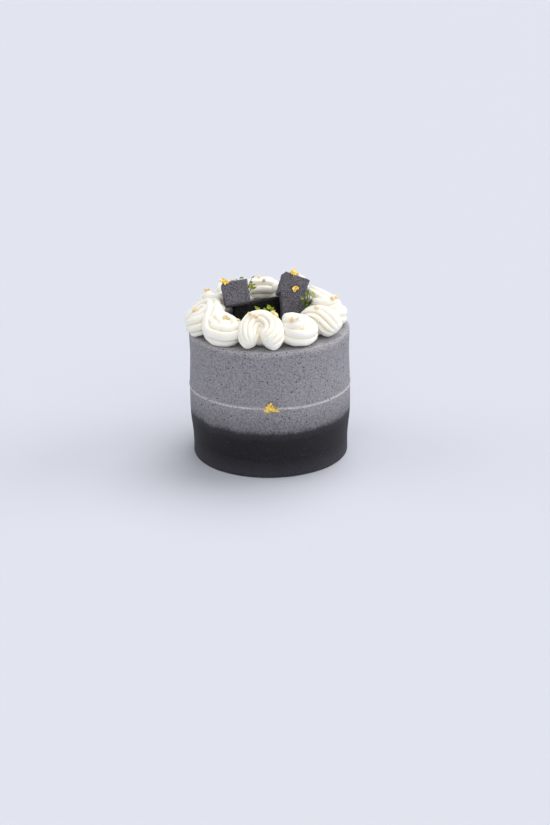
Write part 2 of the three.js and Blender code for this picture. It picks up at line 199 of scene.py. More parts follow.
def ways_round(line: Array, angle: Array) -> Array:
    """Directions across a path that turn as little as they can along it.

    The direction at angle 0 is that of the point before, less its part along the path,
    made a unit. The one at a quarter turn is the path's direction crossed with it.

    Args:
        line: Points of the path, shape (n, 3).
        angle: Angles round the path, shape (n, m) or (m,).

    Returns:
        Directions, shape (n, m, 3).
    """
    along = unit(np.gradient(line, axis=0))
    side = np.zeros_like(line)
    least = np.eye(3)[np.argmin(np.abs(along[0]))]
    side[0] = unit(np.cross(along[0], np.cross(along[0], least)))
    for i in range(1, len(line)):
        side[i] = unit(side[i - 1] - along[i] * (side[i - 1] @ along[i]))
    across = np.cross(along, side)[:, None]
    return np.cos(angle)[..., None] * side[:, None] + np.sin(angle)[..., None] * across


def spline(knots: Array, count: int) -> Array:
    """A smooth way through knots.

    Formula: the uniform Catmull-Rom cubic of each four knots, with the first and last
    knots mirrored beyond the ends.

    Args:
        knots: Shape (n, k).
        count: Number of points of the way.

    Returns:
        Points of shape (count, k).
    """
    k = np.concatenate([2 * knots[:1] - knots[1:2], knots, 2 * knots[-1:] - knots[-2:-1]])
    place = np.linspace(0, len(knots) - 1, count)
    i = np.minimum(place.astype(int), len(knots) - 2)
    t = (place - i)[:, None]
    a, b, c, d = k[i], k[i + 1], k[i + 2], k[i + 3]
    return 0.5 * (
        2 * b + (c - a) * t + (2 * a - 5 * b + 4 * c - d) * t**2 + (3 * b - a - 3 * c + d) * t**3
    )


def even_steps(line: Array, count: int) -> Array:
    """Resample a path so that its points are the same distance apart.

    Args:
        line: Points, shape (n, 3 or more). Further columns are carried along.
        count: Number of points of the new path.

    Returns:
        The new path, shape (count, 3 or more).
    """
    lengths = np.linalg.norm(np.diff(line[:, :3], axis=0), axis=1)
    travelled = np.concatenate([[0.0], np.cumsum(lengths)])
    wanted = np.linspace(0.0, travelled[-1], count)
    return np.stack([np.interp(wanted, travelled, column) for column in line.T], axis=1)


def placement(at: Triple, turn: tuple[float, ...], axes: str = "XYZ") -> Matrix:
    """Place something by a shift and turns.

    Args:
        at: Where its origin goes.
        turn: Degrees about each axis in order, each in the frame that the last one left.
        axes: Letters of the axes.

    Returns:
        The 4 by 4 matrix.
    """
    place = Matrix.Translation(at)
    for degrees, axis in zip(turn, axes):
        place = place @ Matrix.Rotation(math.radians(degrees), 4, axis)
    return place


# ------------------------------------------------------------------ surfaces and meshes


@dataclass
class Surface:
    """Points in millimetres and the faces between them."""

    points: Array
    quads: Array
    triangles: Array = field(default_factory=lambda: np.zeros((0, 3), np.int64))
    values: dict[str, Array] = field(default_factory=dict)

    def moved(self, matrix: Matrix) -> Surface:
        """Move the surface. If that mirrors it, its faces are turned to point out again.

        Args:
            matrix: The 4 by 4 transform.

        Returns:
            The moved surface.
        """
        m = np.array(matrix)
        way = -1 if matrix.determinant() < 0 else 1
        points = self.points @ m[:3, :3].T + m[:3, 3]
        return Surface(points, self.quads[:, ::way], self.triangles[:, ::way], self.values)

    def to_object(self, name: str, weld: float = 0.0) -> Object:
        """Put the surface into a smooth-shaded mesh in metres.

        Args:
            name: The object's name.
            weld: Points closer than this, in millimetres, become one.

        Returns:
            The new object, linked to the scene.
        """
        mesh = bpy.data.meshes.new(name)
        corners = np.concatenate([self.quads.ravel(), self.triangles.ravel()])
        sides = np.repeat([4, 3], [len(self.quads), len(self.triangles)])
        mesh.vertices.add(len(self.points))
        mesh.vertices.foreach_set("co", (self.points * MM).astype(np.float32).ravel())
        mesh.loops.add(len(corners))
        mesh.loops.foreach_set("vertex_index", corners.astype(np.int32))
        mesh.polygons.add(len(sides))
        mesh.polygons.foreach_set("loop_start", (np.cumsum(sides) - sides).astype(np.int32))
        mesh.polygons.foreach_set("use_smooth", np.ones(len(sides), bool))
        for label, value in self.values.items():
            add_value(mesh, label, value)
        mesh.update(calc_edges=True)
        mesh.validate()
        obj = bpy.data.objects.new(name, mesh)
        bpy.context.scene.collection.objects.link(obj)
        if weld:
            seam = obj.modifiers.new("weld", "WELD")
            seam.merge_threshold = weld * MM
            bake_modifiers(obj)
        return obj


def add_value(mesh: Mesh, label: str, value: Array) -> None:
    """Store one number per vertex as a named attribute."""
    layer = mesh.attributes.new(label, "FLOAT", "POINT")
    layer.data.foreach_set("value", value.astype(np.float32).ravel())


def read_values(items: bpy.types.bpy_prop_collection, label: str, width: int) -> Array:
    """Read one property of all vertices or edges of a mesh.

    Args:
        items: The vertices or edges.
        label: The property's name.
        width: How many numbers each of them has.

    Returns:
        The numbers, shape (n, width).
    """
    values = np.empty(width * len(items), np.int32 if label == "vertices" else np.float32)
    items.foreach_get(label, values)
    return values.reshape(-1, width)


def bake_modifiers(obj: Object) -> None:
    """Turn an object's modifiers into plain mesh.

    Args:
        obj: The object, whose mesh is replaced.
    """
    graph = bpy.context.evaluated_depsgraph_get()
    old = obj.data
    baked = bpy.data.meshes.new_from_object(obj.evaluated_get(graph))
    obj.modifiers.clear()
    obj.data = baked
    bpy.data.meshes.remove(old)
    baked.polygons.foreach_set("use_smooth", np.ones(len(baked.polygons), bool))


def joined(surfaces: list[Surface]) -> Surface:
    """Lay several surfaces into one, each keeping its own points.

    Args:
        surfaces: The surfaces, all with values of the same names.

    Returns:
        The one surface.
    """
    offsets = np.cumsum([0] + [len(s.points) for s in surfaces[:-1]])
    labels = surfaces[0].values.keys()
    return Surface(
        np.concatenate([s.points for s in surfaces]),
        np.concatenate([s.quads + o for s, o in zip(surfaces, offsets)]),
        np.concatenate([s.triangles + o for s, o in zip(surfaces, offsets)]),
        {k: np.concatenate([s.values[k] for s in surfaces]) for k in labels},
    )


def tube(rings: Array, first: Array, last: Array | None = None) -> Surface:
    """Skin a row of rings and gather its ends in points.

    Args:
        rings: Points, shape (rows, columns, 3). Seen from the last ring, the columns run
            anticlockwise.
        first: The point that closes the first ring.
        last: The point that closes the last ring, which stays open without it.

    Returns:
        The surface, faces pointing out.
    """
    rows, columns, _ = rings.shape
    index = np.arange(rows * columns).reshape(rows, columns)
    ahead = np.roll(index, -1, axis=1)
    quads = np.stack([index[:-1], ahead[:-1], ahead[1:], index[1:]], axis=-1)
    pole = np.full(columns, rows * columns)
    points = [rings.reshape(-1, 3), [first]]
    caps = [np.stack([pole, ahead[0], index[0]], axis=-1)]
    if last is not None:
        points.append([last])
        caps.append(np.stack([pole + 1, index[-1], ahead[-1]], axis=-1))
    return Surface(np.concatenate(points), quads.reshape(-1, 4), np.concatenate(caps))


def concavity(mesh: Mesh, spread: int) -> Array:
    """How deep each vertex lies in a crease.

    The mean of a vertex's neighbours less the vertex, measured along its normal, is
    positive in a hollow. The mean is taken over and over, so that it tells of wide creases
    and not of single facets.

    Args:
        mesh: The mesh, with its edges.
        spread: How often the mean is taken.

    Returns:
        One value per vertex in millimetres.
    """
    points = read_values(mesh.vertices, "co", 3)
    normals = read_values(mesh.vertices, "normal", 3)
    edges = read_values(mesh.edges, "vertices", 2)
    start, end = np.concatenate([edges, edges[:, ::-1]]).T
    degree = np.maximum(np.bincount(start, minlength=len(points)), 1)
    wide = points.astype(float).T
    for _ in range(spread):
        wide = [np.bincount(start, axis[end], len(points)) / degree for axis in wide]
    return np.einsum("ij,ij->i", np.stack(wide, axis=1) - points, normals) / MM


# ------------------------------------------------------------------ materials


class Grain(NamedTuple):
    """A noise and the relief that it raises.

    The widest cell and the depth are in millimetres. Detail is how often the cell is
    halved, roughness how much each halving counts, strength how much of the relief shows.
    """

    cell: float
    detail: float
    depth: float
    strength: float
    roughness: float = 0.5


class FinishNodes:
    """A material under way: a Principled shader and the nodes that feed it."""

    def __init__(self, name: str) -> None:
        """Start the material with its shader and output.

        Args:
            name: The material's name.
        """
        self.material = bpy.data.materials.new(name)
        self.material.use_nodes = True
        self.tree = self.material.node_tree
        self.tree.nodes.clear()
        self.shader = self.tree.nodes.new("ShaderNodeBsdfPrincipled")
        output = self.tree.nodes.new("ShaderNodeOutputMaterial")
        self.tree.links.new(self.shader.outputs[0], output.inputs[0])

    def add(
        self,
        kind: str,
        inputs: dict[str | int, Any],
        output: str | int = 0,
        stops: Stops = (),
        **settings: Any,
    ) -> NodeSocket:
        """Add one node with its settings, values and links.

        Args:
            kind: The node's type, less the ShaderNode at its start.
            inputs: For each input, by name or number, a value or the output that feeds it.
            output: The output that is wanted, by name or number.
            stops: Places from 0 to 1 on a colour ramp, in order, and their sRGB hex colours.
            **settings: The node's own properties.

        Returns:
            The wanted output.
        """
        node = self.tree.nodes.new("ShaderNode" + kind)
        for label, value in settings.items():
            setattr(node, label, value)
        for _ in stops[2:]:
            node.color_ramp.elements.new(0.5)
        for number, (place, code) in enumerate(stops):
            element = node.color_ramp.elements[number]
            element.position = place
            element.color = linear(code)
        self.feed(node, inputs)
        return node.outputs[output]

    def feed(self, node: Node, inputs: dict[str | int, Any]) -> None:
        """Give inputs of a node a value, or link them to an output.

        Args:
            node: The node.
            inputs: For each input, by name or number, a value or the output that feeds it.
        """
        for label, value in inputs.items():
            if isinstance(value, NodeSocket):
                self.tree.links.new(value, node.inputs[label])
            else:
                node.inputs[label].default_value = value

    def grained(self, grain: Grain) -> tuple[NodeSocket, NodeSocket]:
        """Lay a grain over the piece's own coordinates.

        Args:
            grain: Its sizes.

        Returns:
            The value of its noise and the normal of its relief.
        """
        sizes = {"Scale": 1 / (grain.cell * MM), "Detail": grain.detail}
        place = self.add("TexCoord", {}, "Object")
        noise = self.add(
            "TexNoise", {"Vector": place, "Roughness": grain.roughness, **sizes}, "Fac"
        )
        relief = {"Height": noise, "Distance": grain.depth * MM, "Strength": grain.strength}
        return noise, self.add("Bump", relief)

    def finished(self, inputs: dict[str | int, Any]) -> Material:
        """Feed the shader and return the material."""
        self.feed(self.shader, inputs)
        return self.material


@dataclass(frozen=True)
class Finish:
    """One real material, by the tones and the relief of its grain and by its gloss.

    The glow is light that enters it and comes out again: its share, how far each of red,
    green and blue spreads, and their depth in millimetres.
    """

    name: str
    tones: Stops
    grain: Grain
    roughness: float
    ior: float
    specular: float = 0.5
    glow: float = 0.0
    glow_spread: Triple = (1.0, 1.0, 1.0)
    glow_depth: float = 1.0

    def make(self) -> Material:
        """Build the material.

        Returns:
            The material.
        """
        nodes = FinishNodes(self.name)
        noise, bump = nodes.grained(self.grain)
        inputs = {
            "Base Color": self.colour(nodes, noise),
            "Roughness": self.roughness,
            "IOR": self.ior,
            "Specular IOR Level": self.specular,
            "Subsurface Weight": self.glow,
            "Subsurface Radius": self.glow_spread,
            "Subsurface Scale": self.glow_depth * MM,
        }
        return nodes.finished({**inputs, "Normal": bump} if self.grain.depth else inputs)

    def colour(self, nodes: FinishNodes, noise: NodeSocket) -> NodeSocket:
        """The tone that the noise picks."""
        return nodes.add("ValToRGB", {"Fac": noise}, stops=self.tones)


@dataclass(frozen=True)
class CoatCream(Finish):
    """Butter cream coloured with charcoal, smoothed with a scraper.

    The eye sees a soft matt coat, mottled where the colour isn't stirred in fully, with
    dark specks of charcoal a millimetre across, that darkens by a soft edge near the foot.
    """

    name: str = "charcoal_buttercream_coat"
    tones: Stops = ((0.36, "#c2c2c2"), (0.5, "#ebebeb"), (0.66, "#ffffff"))
    grain: Grain = Grain(1.5, 3.0, 0.12, 0.5)
    roughness: float = 0.62
    ior: float = 1.45
    specular: float = 0.35
    # Colours by height in millimetres: dark foot, soft edge, grey body and paler rim.
    zones: Stops = (
        # The first stop lightens the dark foot at the very bottom: painted light reflected from the
        # floor.
        (0.0, "#3c3b44"), (18.0, "#19181f"), (36.0, "#19181f"), (43.5, "#302f37"),
        (48.0, "#7e7c82"), (64.0, "#9b999f"), (117.37, "#9b999f"), (121.06, "#afadb1"),
    )
    zones_height: float = 122.9
    # The edge of the dark zone wanders this far with a slow waver, and with the grain.
    waver_cell: float = 26.0
    waver_reach: float = 9.0
    grain_reach: float = 3.0
    # The raised line is painted paler than the coat: a painted highlight where its ridge catches
    # the light.
    line: str = "#d3d0d1"
    # A speck's radius by its cell is the widest reach times chance to this power.
    speck: str = "#2e2c32"
    speck_cell: float = 2.2
    speck_reach: float = 0.36
    speck_power: float = 3.0
    speck_edge: float = 0.02

    def colour(self, nodes: FinishNodes, noise: NodeSocket) -> NodeSocket:
        """The zone's colour, with the line's painted highlight, the mottle and the specks laid over
        it.

        Args:
            nodes: The material's nodes.
            noise: The grain's noise.

        Returns:
            The colour.
        """
        place = nodes.add("TexCoord", {}, "Object")
        colour = self.zone_colour(nodes, place, noise)
        line = nodes.add("Attribute", {}, "Fac", attribute_name="line")
        mottle = super().colour(nodes, noise)
        for factor, over, blend in (
            (line, linear(self.line), "MIX"),
            (1.0, mottle, "MULTIPLY"),
            (self.speck_share(nodes, place), linear(self.speck), "MIX"),
        ):
            inputs = {0: factor, 6: colour, 7: over}
            colour = nodes.add("Mix", inputs, 2, data_type="RGBA", blend_type=blend)
        return colour

    def zone_colour(
        self, nodes: FinishNodes, place: NodeSocket, noise: NodeSocket
    ) -> NodeSocket:
        """The colour by height, with an edge that wanders and is mottled.

        Args:
            nodes: The material's nodes.
            place: The place on the piece.
            noise: The grain's noise.

        Returns:
            The colour.
        """
        slow = {"Vector": place, "Scale": 1 / (self.waver_cell * MM), "Detail": 4.0}
        waver = nodes.add("TexNoise", slow, "Fac")
        level = nodes.add("SeparateXYZ", {0: place}, "Z")
        for value, reach in ((waver, self.waver_reach), (noise, self.grain_reach)):
            inputs = {0: value, 1: reach * MM, 2: level}
            level = nodes.add("Math", inputs, operation="MULTIPLY_ADD")
        # Both noises are a half on average, which the range takes off again.
        mean = (self.waver_reach + self.grain_reach) / 2
        span = {"From Min": mean * MM, "From Max": (self.zones_height + mean) * MM}
        share = nodes.add("MapRange", {"Value": level, **span})
        stops = tuple((z / self.zones_height, code) for z, code in self.zones)
        return nodes.add("ValToRGB", {"Fac": share}, stops=stops)

    def speck_share(self, nodes: FinishNodes, place: NodeSocket) -> NodeSocket:
        """Where a speck lies round the middle of its cell. Most specks are tiny.

        Args:
            nodes: The material's nodes.
            place: The place on the piece.

        Returns:
            1 on a speck and 0 beside it.
        """
        cells = {"Vector": place, "Scale": 1 / (self.speck_cell * MM), "Randomness": 1.0}
        distance = nodes.add("TexVoronoi", cells, "Distance")
        chance = nodes.add("SeparateColor", {0: distance.node.outputs["Color"]}, "Red")
        size = nodes.add("Math", {0: chance, 1: self.speck_power}, operation="POWER")
        reach = nodes.add("Math", {0: size, 1: self.speck_reach}, operation="MULTIPLY")
        full = nodes.add("Math", {0: reach, 1: self.speck_edge}, operation="SUBTRACT")
        return nodes.add("MapRange", {"Value": distance, "From Min": reach, "From Max": full})


@dataclass(frozen=True)
class WhippedCream(Finish):
    """Whipped dairy cream from a star nozzle.

    Light enters it and comes out again, so shadows in it are pale and warm. The deep creases
    are painted pale yellow, as painted shade. Its skin is smooth with a soft sheen and fine
    bubbles.
    """

    name: str = "whipped_cream"
    # Colours by how deep a place lies in a crease, from 0 to 1: painted shade, turning pale
    # yellow in the deepest creases.
    tones: Stops = ((0.0, "#f8f5ec"), (0.16, "#f8f5ec"), (0.85, "#e8cc70"))
    grain: Grain = Grain(0.9, 4.0, 0.1, 0.35)
    roughness: float = 0.42
    ior: float = 1.45
    specular: float = 0.4
    glow: float = 0.35
    glow_spread: Triple = (1.0, 0.8, 0.5)
    glow_depth: float = 1.8

    def colour(self, nodes: FinishNodes, noise: NodeSocket) -> NodeSocket:
        """The painted shade that the crease's depth picks, not the noise of the bubbles."""
        crease = nodes.add("Attribute", {}, "Fac", attribute_name="crease")
        return super().colour(nodes, crease)


@dataclass(frozen=True)
class CharcoalSponge(Finish):
    """Cut sponge baked with charcoal.

    The crumb is matt and open: pores about half a millimetre to a millimetre wide read as
    dark dots on a violet grey ground, and crumbs stand up as light grains.
    """

    name: str = "charcoal_sponge_crumb"
    tones: Stops = ((0.34, "#34333a"), (0.47, "#636168"), (0.68, "#8d8b92"))
    grain: Grain = Grain(1.0, 5.0, 0.5, 0.8, 0.65)
    roughness: float = 0.9
    ior: float = 1.45
    specular: float = 0.2


@dataclass(frozen=True)
class ShadedSponge(CharcoalSponge):
    """The same sponge with its tones painted nearly black: painted shade for the slab in shadow."""

    name: str = "shaded_sponge_crumb"
    # Painted shade: the crumb's tones darkened nearly to black.
    tones: Stops = ((0.34, "#09090a"), (0.47, "#1d1d1f"), (0.68, "#39393b"))


@dataclass(frozen=True)
class ChoppedNut(Finish):
    """Roasted nut, chopped by hand.

    Peach to tan, paler on the cut faces, waxy and slightly translucent.
    """

    name: str = "chopped_roasted_nut"
    tones: Stops = ((0.38, "#e6c48c"), (0.6, "#f7e4bb"))
    grain: Grain = Grain(2.6, 3.0, 0.3, 0.5)
    roughness: float = 0.45
    ior: float = 1.47
    glow: float = 0.2
    glow_spread: Triple = (1.0, 0.7, 0.45)


@dataclass(frozen=True)
class GreenLeaf(Finish):
    """Young herb leaves on thin stems.

    Fresh yellow green with darker stems, a waxy sheen, and light shining through. The
    patches of young and old leaf are flat.
    """

    name: str = "herb_leaf"
    tones: Stops = ((0.35, "#86a01f"), (0.62, "#c6d440"))
    grain: Grain = Grain(5.0, 2.0, 0.0, 0.0)
    roughness: float = 0.4
    ior: float = 1.42
    glow: float = 0.25
    glow_spread: Triple = (0.6, 1.0, 0.2)
    glow_depth: float = 0.8
    stem: str = "#303a12"

    def colour(self, nodes: FinishNodes, noise: NodeSocket) -> NodeSocket:
        """The tone that the noise picks, mixed into the stem's colour by the blade's value.

        Args:
            nodes: The material's nodes.
            noise: The noise of the patches.

        Returns:
            The colour.
        """
        blade = nodes.add("Attribute", {}, "Fac", attribute_name="blade")
        inputs = {0: blade, 6: linear(self.stem), 7: super().colour(nodes, noise)}
        return nodes.add("Mix", inputs, 2, data_type="RGBA")


@dataclass(frozen=True)
class GoldLeafFoil:
    """Edible gold leaf, beaten thin and crumpled.

    A bright metal that shows as small facets, some that mirror the lights and some brown.
    """

    colour: str = "#fbda78"
    roughness: float = 0.2
    folds: Grain = Grain(1.1, 3.0, 0.5, 0.6)

    def make(self) -> Material:
        """Build the material.

        Returns:
            The material.
        """
        nodes = FinishNodes("gold_leaf")
        metal = {"Base Color": linear(self.colour), "Metallic": 1.0, "Roughness": self.roughness}
        return nodes.finished({**metal, "Normal": nodes.grained(self.folds)[1]})


@dataclass(frozen=True)
class StudioPaper:
    """Matt pale blue backdrop paper, plain all over."""

    colour: str = "#c9ccd5"
    roughness: float = 0.9

    def make(self) -> Material:
        """Build the material and return it."""
        paper = {"Base Color": linear(self.colour), "Roughness": self.roughness}
        return FinishNodes("backdrop_paper").finished(paper)


# ------------------------------------------------------------------ the cake's body


@dataclass
class CoatedCake:
    """The upright round cake under its coat."""

    height: float = 122.9
    # The top face leans by this much, which starts at a height of tilt_start.
    tilt_deg: float = 0.87
    tilt_start: float = 75.0
    # Outside radius by height, without the raised line and the rounded edges.
    heights: tuple[float, ...] = (0, 8, 16, 24, 32, 41, 67, 84, 98, 112, 123)
    radii: tuple[float, ...] = (73.5, 73.5, 73.4, 74.0, 75.0, 75.9, 76.0, 75.4, 74.8, 75.1, 75.1)
    # The listed radii are averaged over this height each way, from this many samples.
    ease: float = 7.0
    ease_samples: int = 15
    line_height: float = 69.1
    line_rise: float = 0.85
    line_half_width: float = 1.0
    # The line sways by waves of these heights, numbers round the cake and starts.
    line_sways: tuple[Triple, ...] = ((0.25, 3, 1.0), (0.2, 7, 0.0))
    line_mean: float = 0.75
    line_breaks: Wave = Wave(14.0, 0.25, 2, 5)
    rim_round: float = 2.4
    foot_round: float = 1.2
    # The scraper wavers slowly and leaves strokes that are long round the wall. Each noise
    # is read at the place times its stretch. Towards the axis both fade out over the fade's
    # radii, and the waves of the top take their place.
    waver: Wave = Wave(34.0, 0.22, 3, 11)
    waver_stretch: Triple = (1.0, 1.0, 0.7)
    strokes: Wave = Wave(2.6, 0.05, 1, 23)
    stroke_stretch: Triple = (0.06, 0.06, 1.0)
    fade: tuple[float, float] = (60.0, 70.0)
    top_waves: Wave = Wave(12.0, 0.25, 2, 31)
    hub_radius: float = 1.5
    columns: int = 420
    wall_rows: int = 190
    top_rows: int = 25
    edge_rows: int = 8

    def wall_radius(self, z: Array) -> Array:
        """Radius of the wall by height: the listed radii, joined by a smooth curve.

        The straight joins are averaged over the ease each way, which rounds their corners.
        """
        offsets = np.linspace(-self.ease, self.ease, self.ease_samples)
        return np.mean([np.interp(z + o, self.heights, self.radii) for o in offsets], axis=0)

    def outline(self) -> tuple[Array, Array]:
        """Radius and height along the outline from the foot to the middle of the top.

        The foot is a quarter circle, the wall follows wall_radius, the rim is a quarter
        circle and the top runs straight to the axis.

        Returns:
            The radii and the heights.
        """
        quarter = np.linspace(0.0, np.pi / 2, self.edge_rows)
        foot_r = self.wall_radius(np.zeros(1)) - self.foot_round * (1 - np.sin(quarter))
        foot_z = self.foot_round * (1 - np.cos(quarter))
        wall_z = np.linspace(self.foot_round, self.height - self.rim_round, self.wall_rows)
        wall_r = self.wall_radius(wall_z)
        rim_r = wall_r[-1] - self.rim_round * (1 - np.cos(quarter))
        rim_z = self.height - self.rim_round * (1 - np.sin(quarter))
        top_r = np.linspace(rim_r[-1], self.hub_radius, self.top_rows + 1)[1:]
        radius = np.concatenate([foot_r, wall_r[1:-1], rim_r, top_r])
        flat_z = np.full(self.top_rows, self.height)
        return radius, np.concatenate([foot_z, wall_z[1:-1], rim_z, flat_z])

    def surface(self) -> Surface:
        """The coat as one closed surface.

        Formula: the outline turned round the axis. Its radius gains a bump of the line's
        rise times exp(-(dz/half width)²) at the line's height, and slow noise where the
        scraper wavered. Above tilt_start the height gains the tilt times x.

        Returns:
            The surface. Its value "line" is 1 on the raised line and carries its painted highlight.
        """
        radius, height = (column[:, None] for column in self.outline())
        angle = full_turn(self.columns)
        even = grid_points(radius * np.cos(angle), radius * np.sin(angle), height)
        sways = (tall * np.sin(number * angle + start) for tall, number, start in self.line_sways)
        on_wall = smoothstep(radius, *self.fade)
        below = (height - self.line_height - sum(sways)) / self.line_half_width
        line = np.exp(-(below**2)) * on_wall
        swell = self.waver.at(even * self.waver_stretch)
        swell += self.strokes.at(even * self.stroke_stretch)
        rise = self.line_rise * (self.line_mean + self.line_breaks.at(even))
        radius = radius + on_wall * swell + line * rise
        x, y = radius * np.cos(angle), radius * np.sin(angle)
        lean = math.tan(math.radians(self.tilt_deg)) * x + (1 - on_wall) * self.top_waves.at(even)
        z = height + smoothstep(height, self.tilt_start, self.height) * lean
        coat = tube(grid_points(x, y, z), np.zeros(3), np.array([0, 0, self.height]))
        coat.values["line"] = np.append(line, [0.0, 0.0])
        return coat

    def top_matrix(self) -> Matrix:
        """Place of the tilted top face, on which the toppings stand."""
        return placement((0, 0, self.height), (-self.tilt_deg,), "Y")

    def build(self, finish: CoatCream) -> Object:
        """Make the coat's piece and dress it.

        Args:
            finish: The cream of the coat.

        Returns:
            The piece.
        """
        piece = self.surface().to_object("coated_cake")
        piece.data.materials.append(finish.make())
        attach(piece, "root")
        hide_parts("cake_body")
        return piece


# ------------------------------------------------------------------ the piped cream


class Piping(Enum):
    """How the nozzle moved. The values are the rope's way: x, y, z and radius.

    A curl sweeps round the outside and ends on top of itself, leaning outwards. A sweep is
    a curl that comes down from its taller neighbour. A fold goes up over the ring and
    comes back, so that both of its ends point outwards. A shell comes up once from the
    inside and runs down to the rim.
    """

    CURL = (
        (-11.5, 5.0, 14.0, 7.4), (-10.8, -3.0, 11.0, 8.9), (-4.8, -8.6, 9.3, 9.5),
        (4.2, -8.8, 9.2, 9.6), (10.2, -3.0, 10.8, 9.5), (9.2, 5.0, 14.0, 9.4),
        (2.0, 8.0, 17.0, 9.2), (-5.0, 5.0, 18.6, 9.2), (-6.6, -1.0, 19.6, 9.2),
        (-2.6, -3.8, 20.3, 9.0), (1.5, -1.0, 21.0, 8.6),
    )
    SWEEP = (
        (-25.0, 11.0, 22.0, 8.2), (-18.5, 5.5, 19.5, 9.6), (-11.6, -3.0, 13.6, 10.0),
        (-3.8, -9.0, 9.6, 9.8), (5.4, -9.0, 9.2, 9.6), (12.5, -4.0, 9.6, 9.4),
        (9.6, 4.0, 11.0, 9.0), (1.0, 6.0, 13.4, 9.0), (-6.0, 3.0, 15.6, 8.8),
        (-5.6, -3.0, 16.2, 8.4), (1.0, -3.4, 15.4, 8.0),
    )
    FOLD = (
        (-5.4, -17.2, 5.2, 6.0), (-8.6, -11.8, 9.0, 8.6), (-9.8, -4.0, 14.5, 9.6),
        (-6.6, 3.2, 18.4, 10.0), (1.0, 5.2, 19.4, 10.0), (8.4, 1.0, 17.0, 10.0),
        (11.2, -6.5, 12.4, 10.6), (9.6, -12.2, 9.6, 10.4), (5.0, -16.6, 6.4, 7.4),
    )
    SHELL = (
        (0.0, 13.0, 7.0, 8.0), (0.0, 9.0, 15.0, 9.4), (0.0, 1.0, 17.6, 10.0),
        (0.0, -6.5, 14.4, 11.2), (0.0, -13.0, 9.6, 11.0), (0.0, -18.6, 5.0, 7.0),
    )


class Nut(NamedTuple):
    """Where a bit lies: ring angle, distance from the axis, length and, if it matters, spin."""

    angle: float
    distance: float
    length: float
    spin: float | None = None


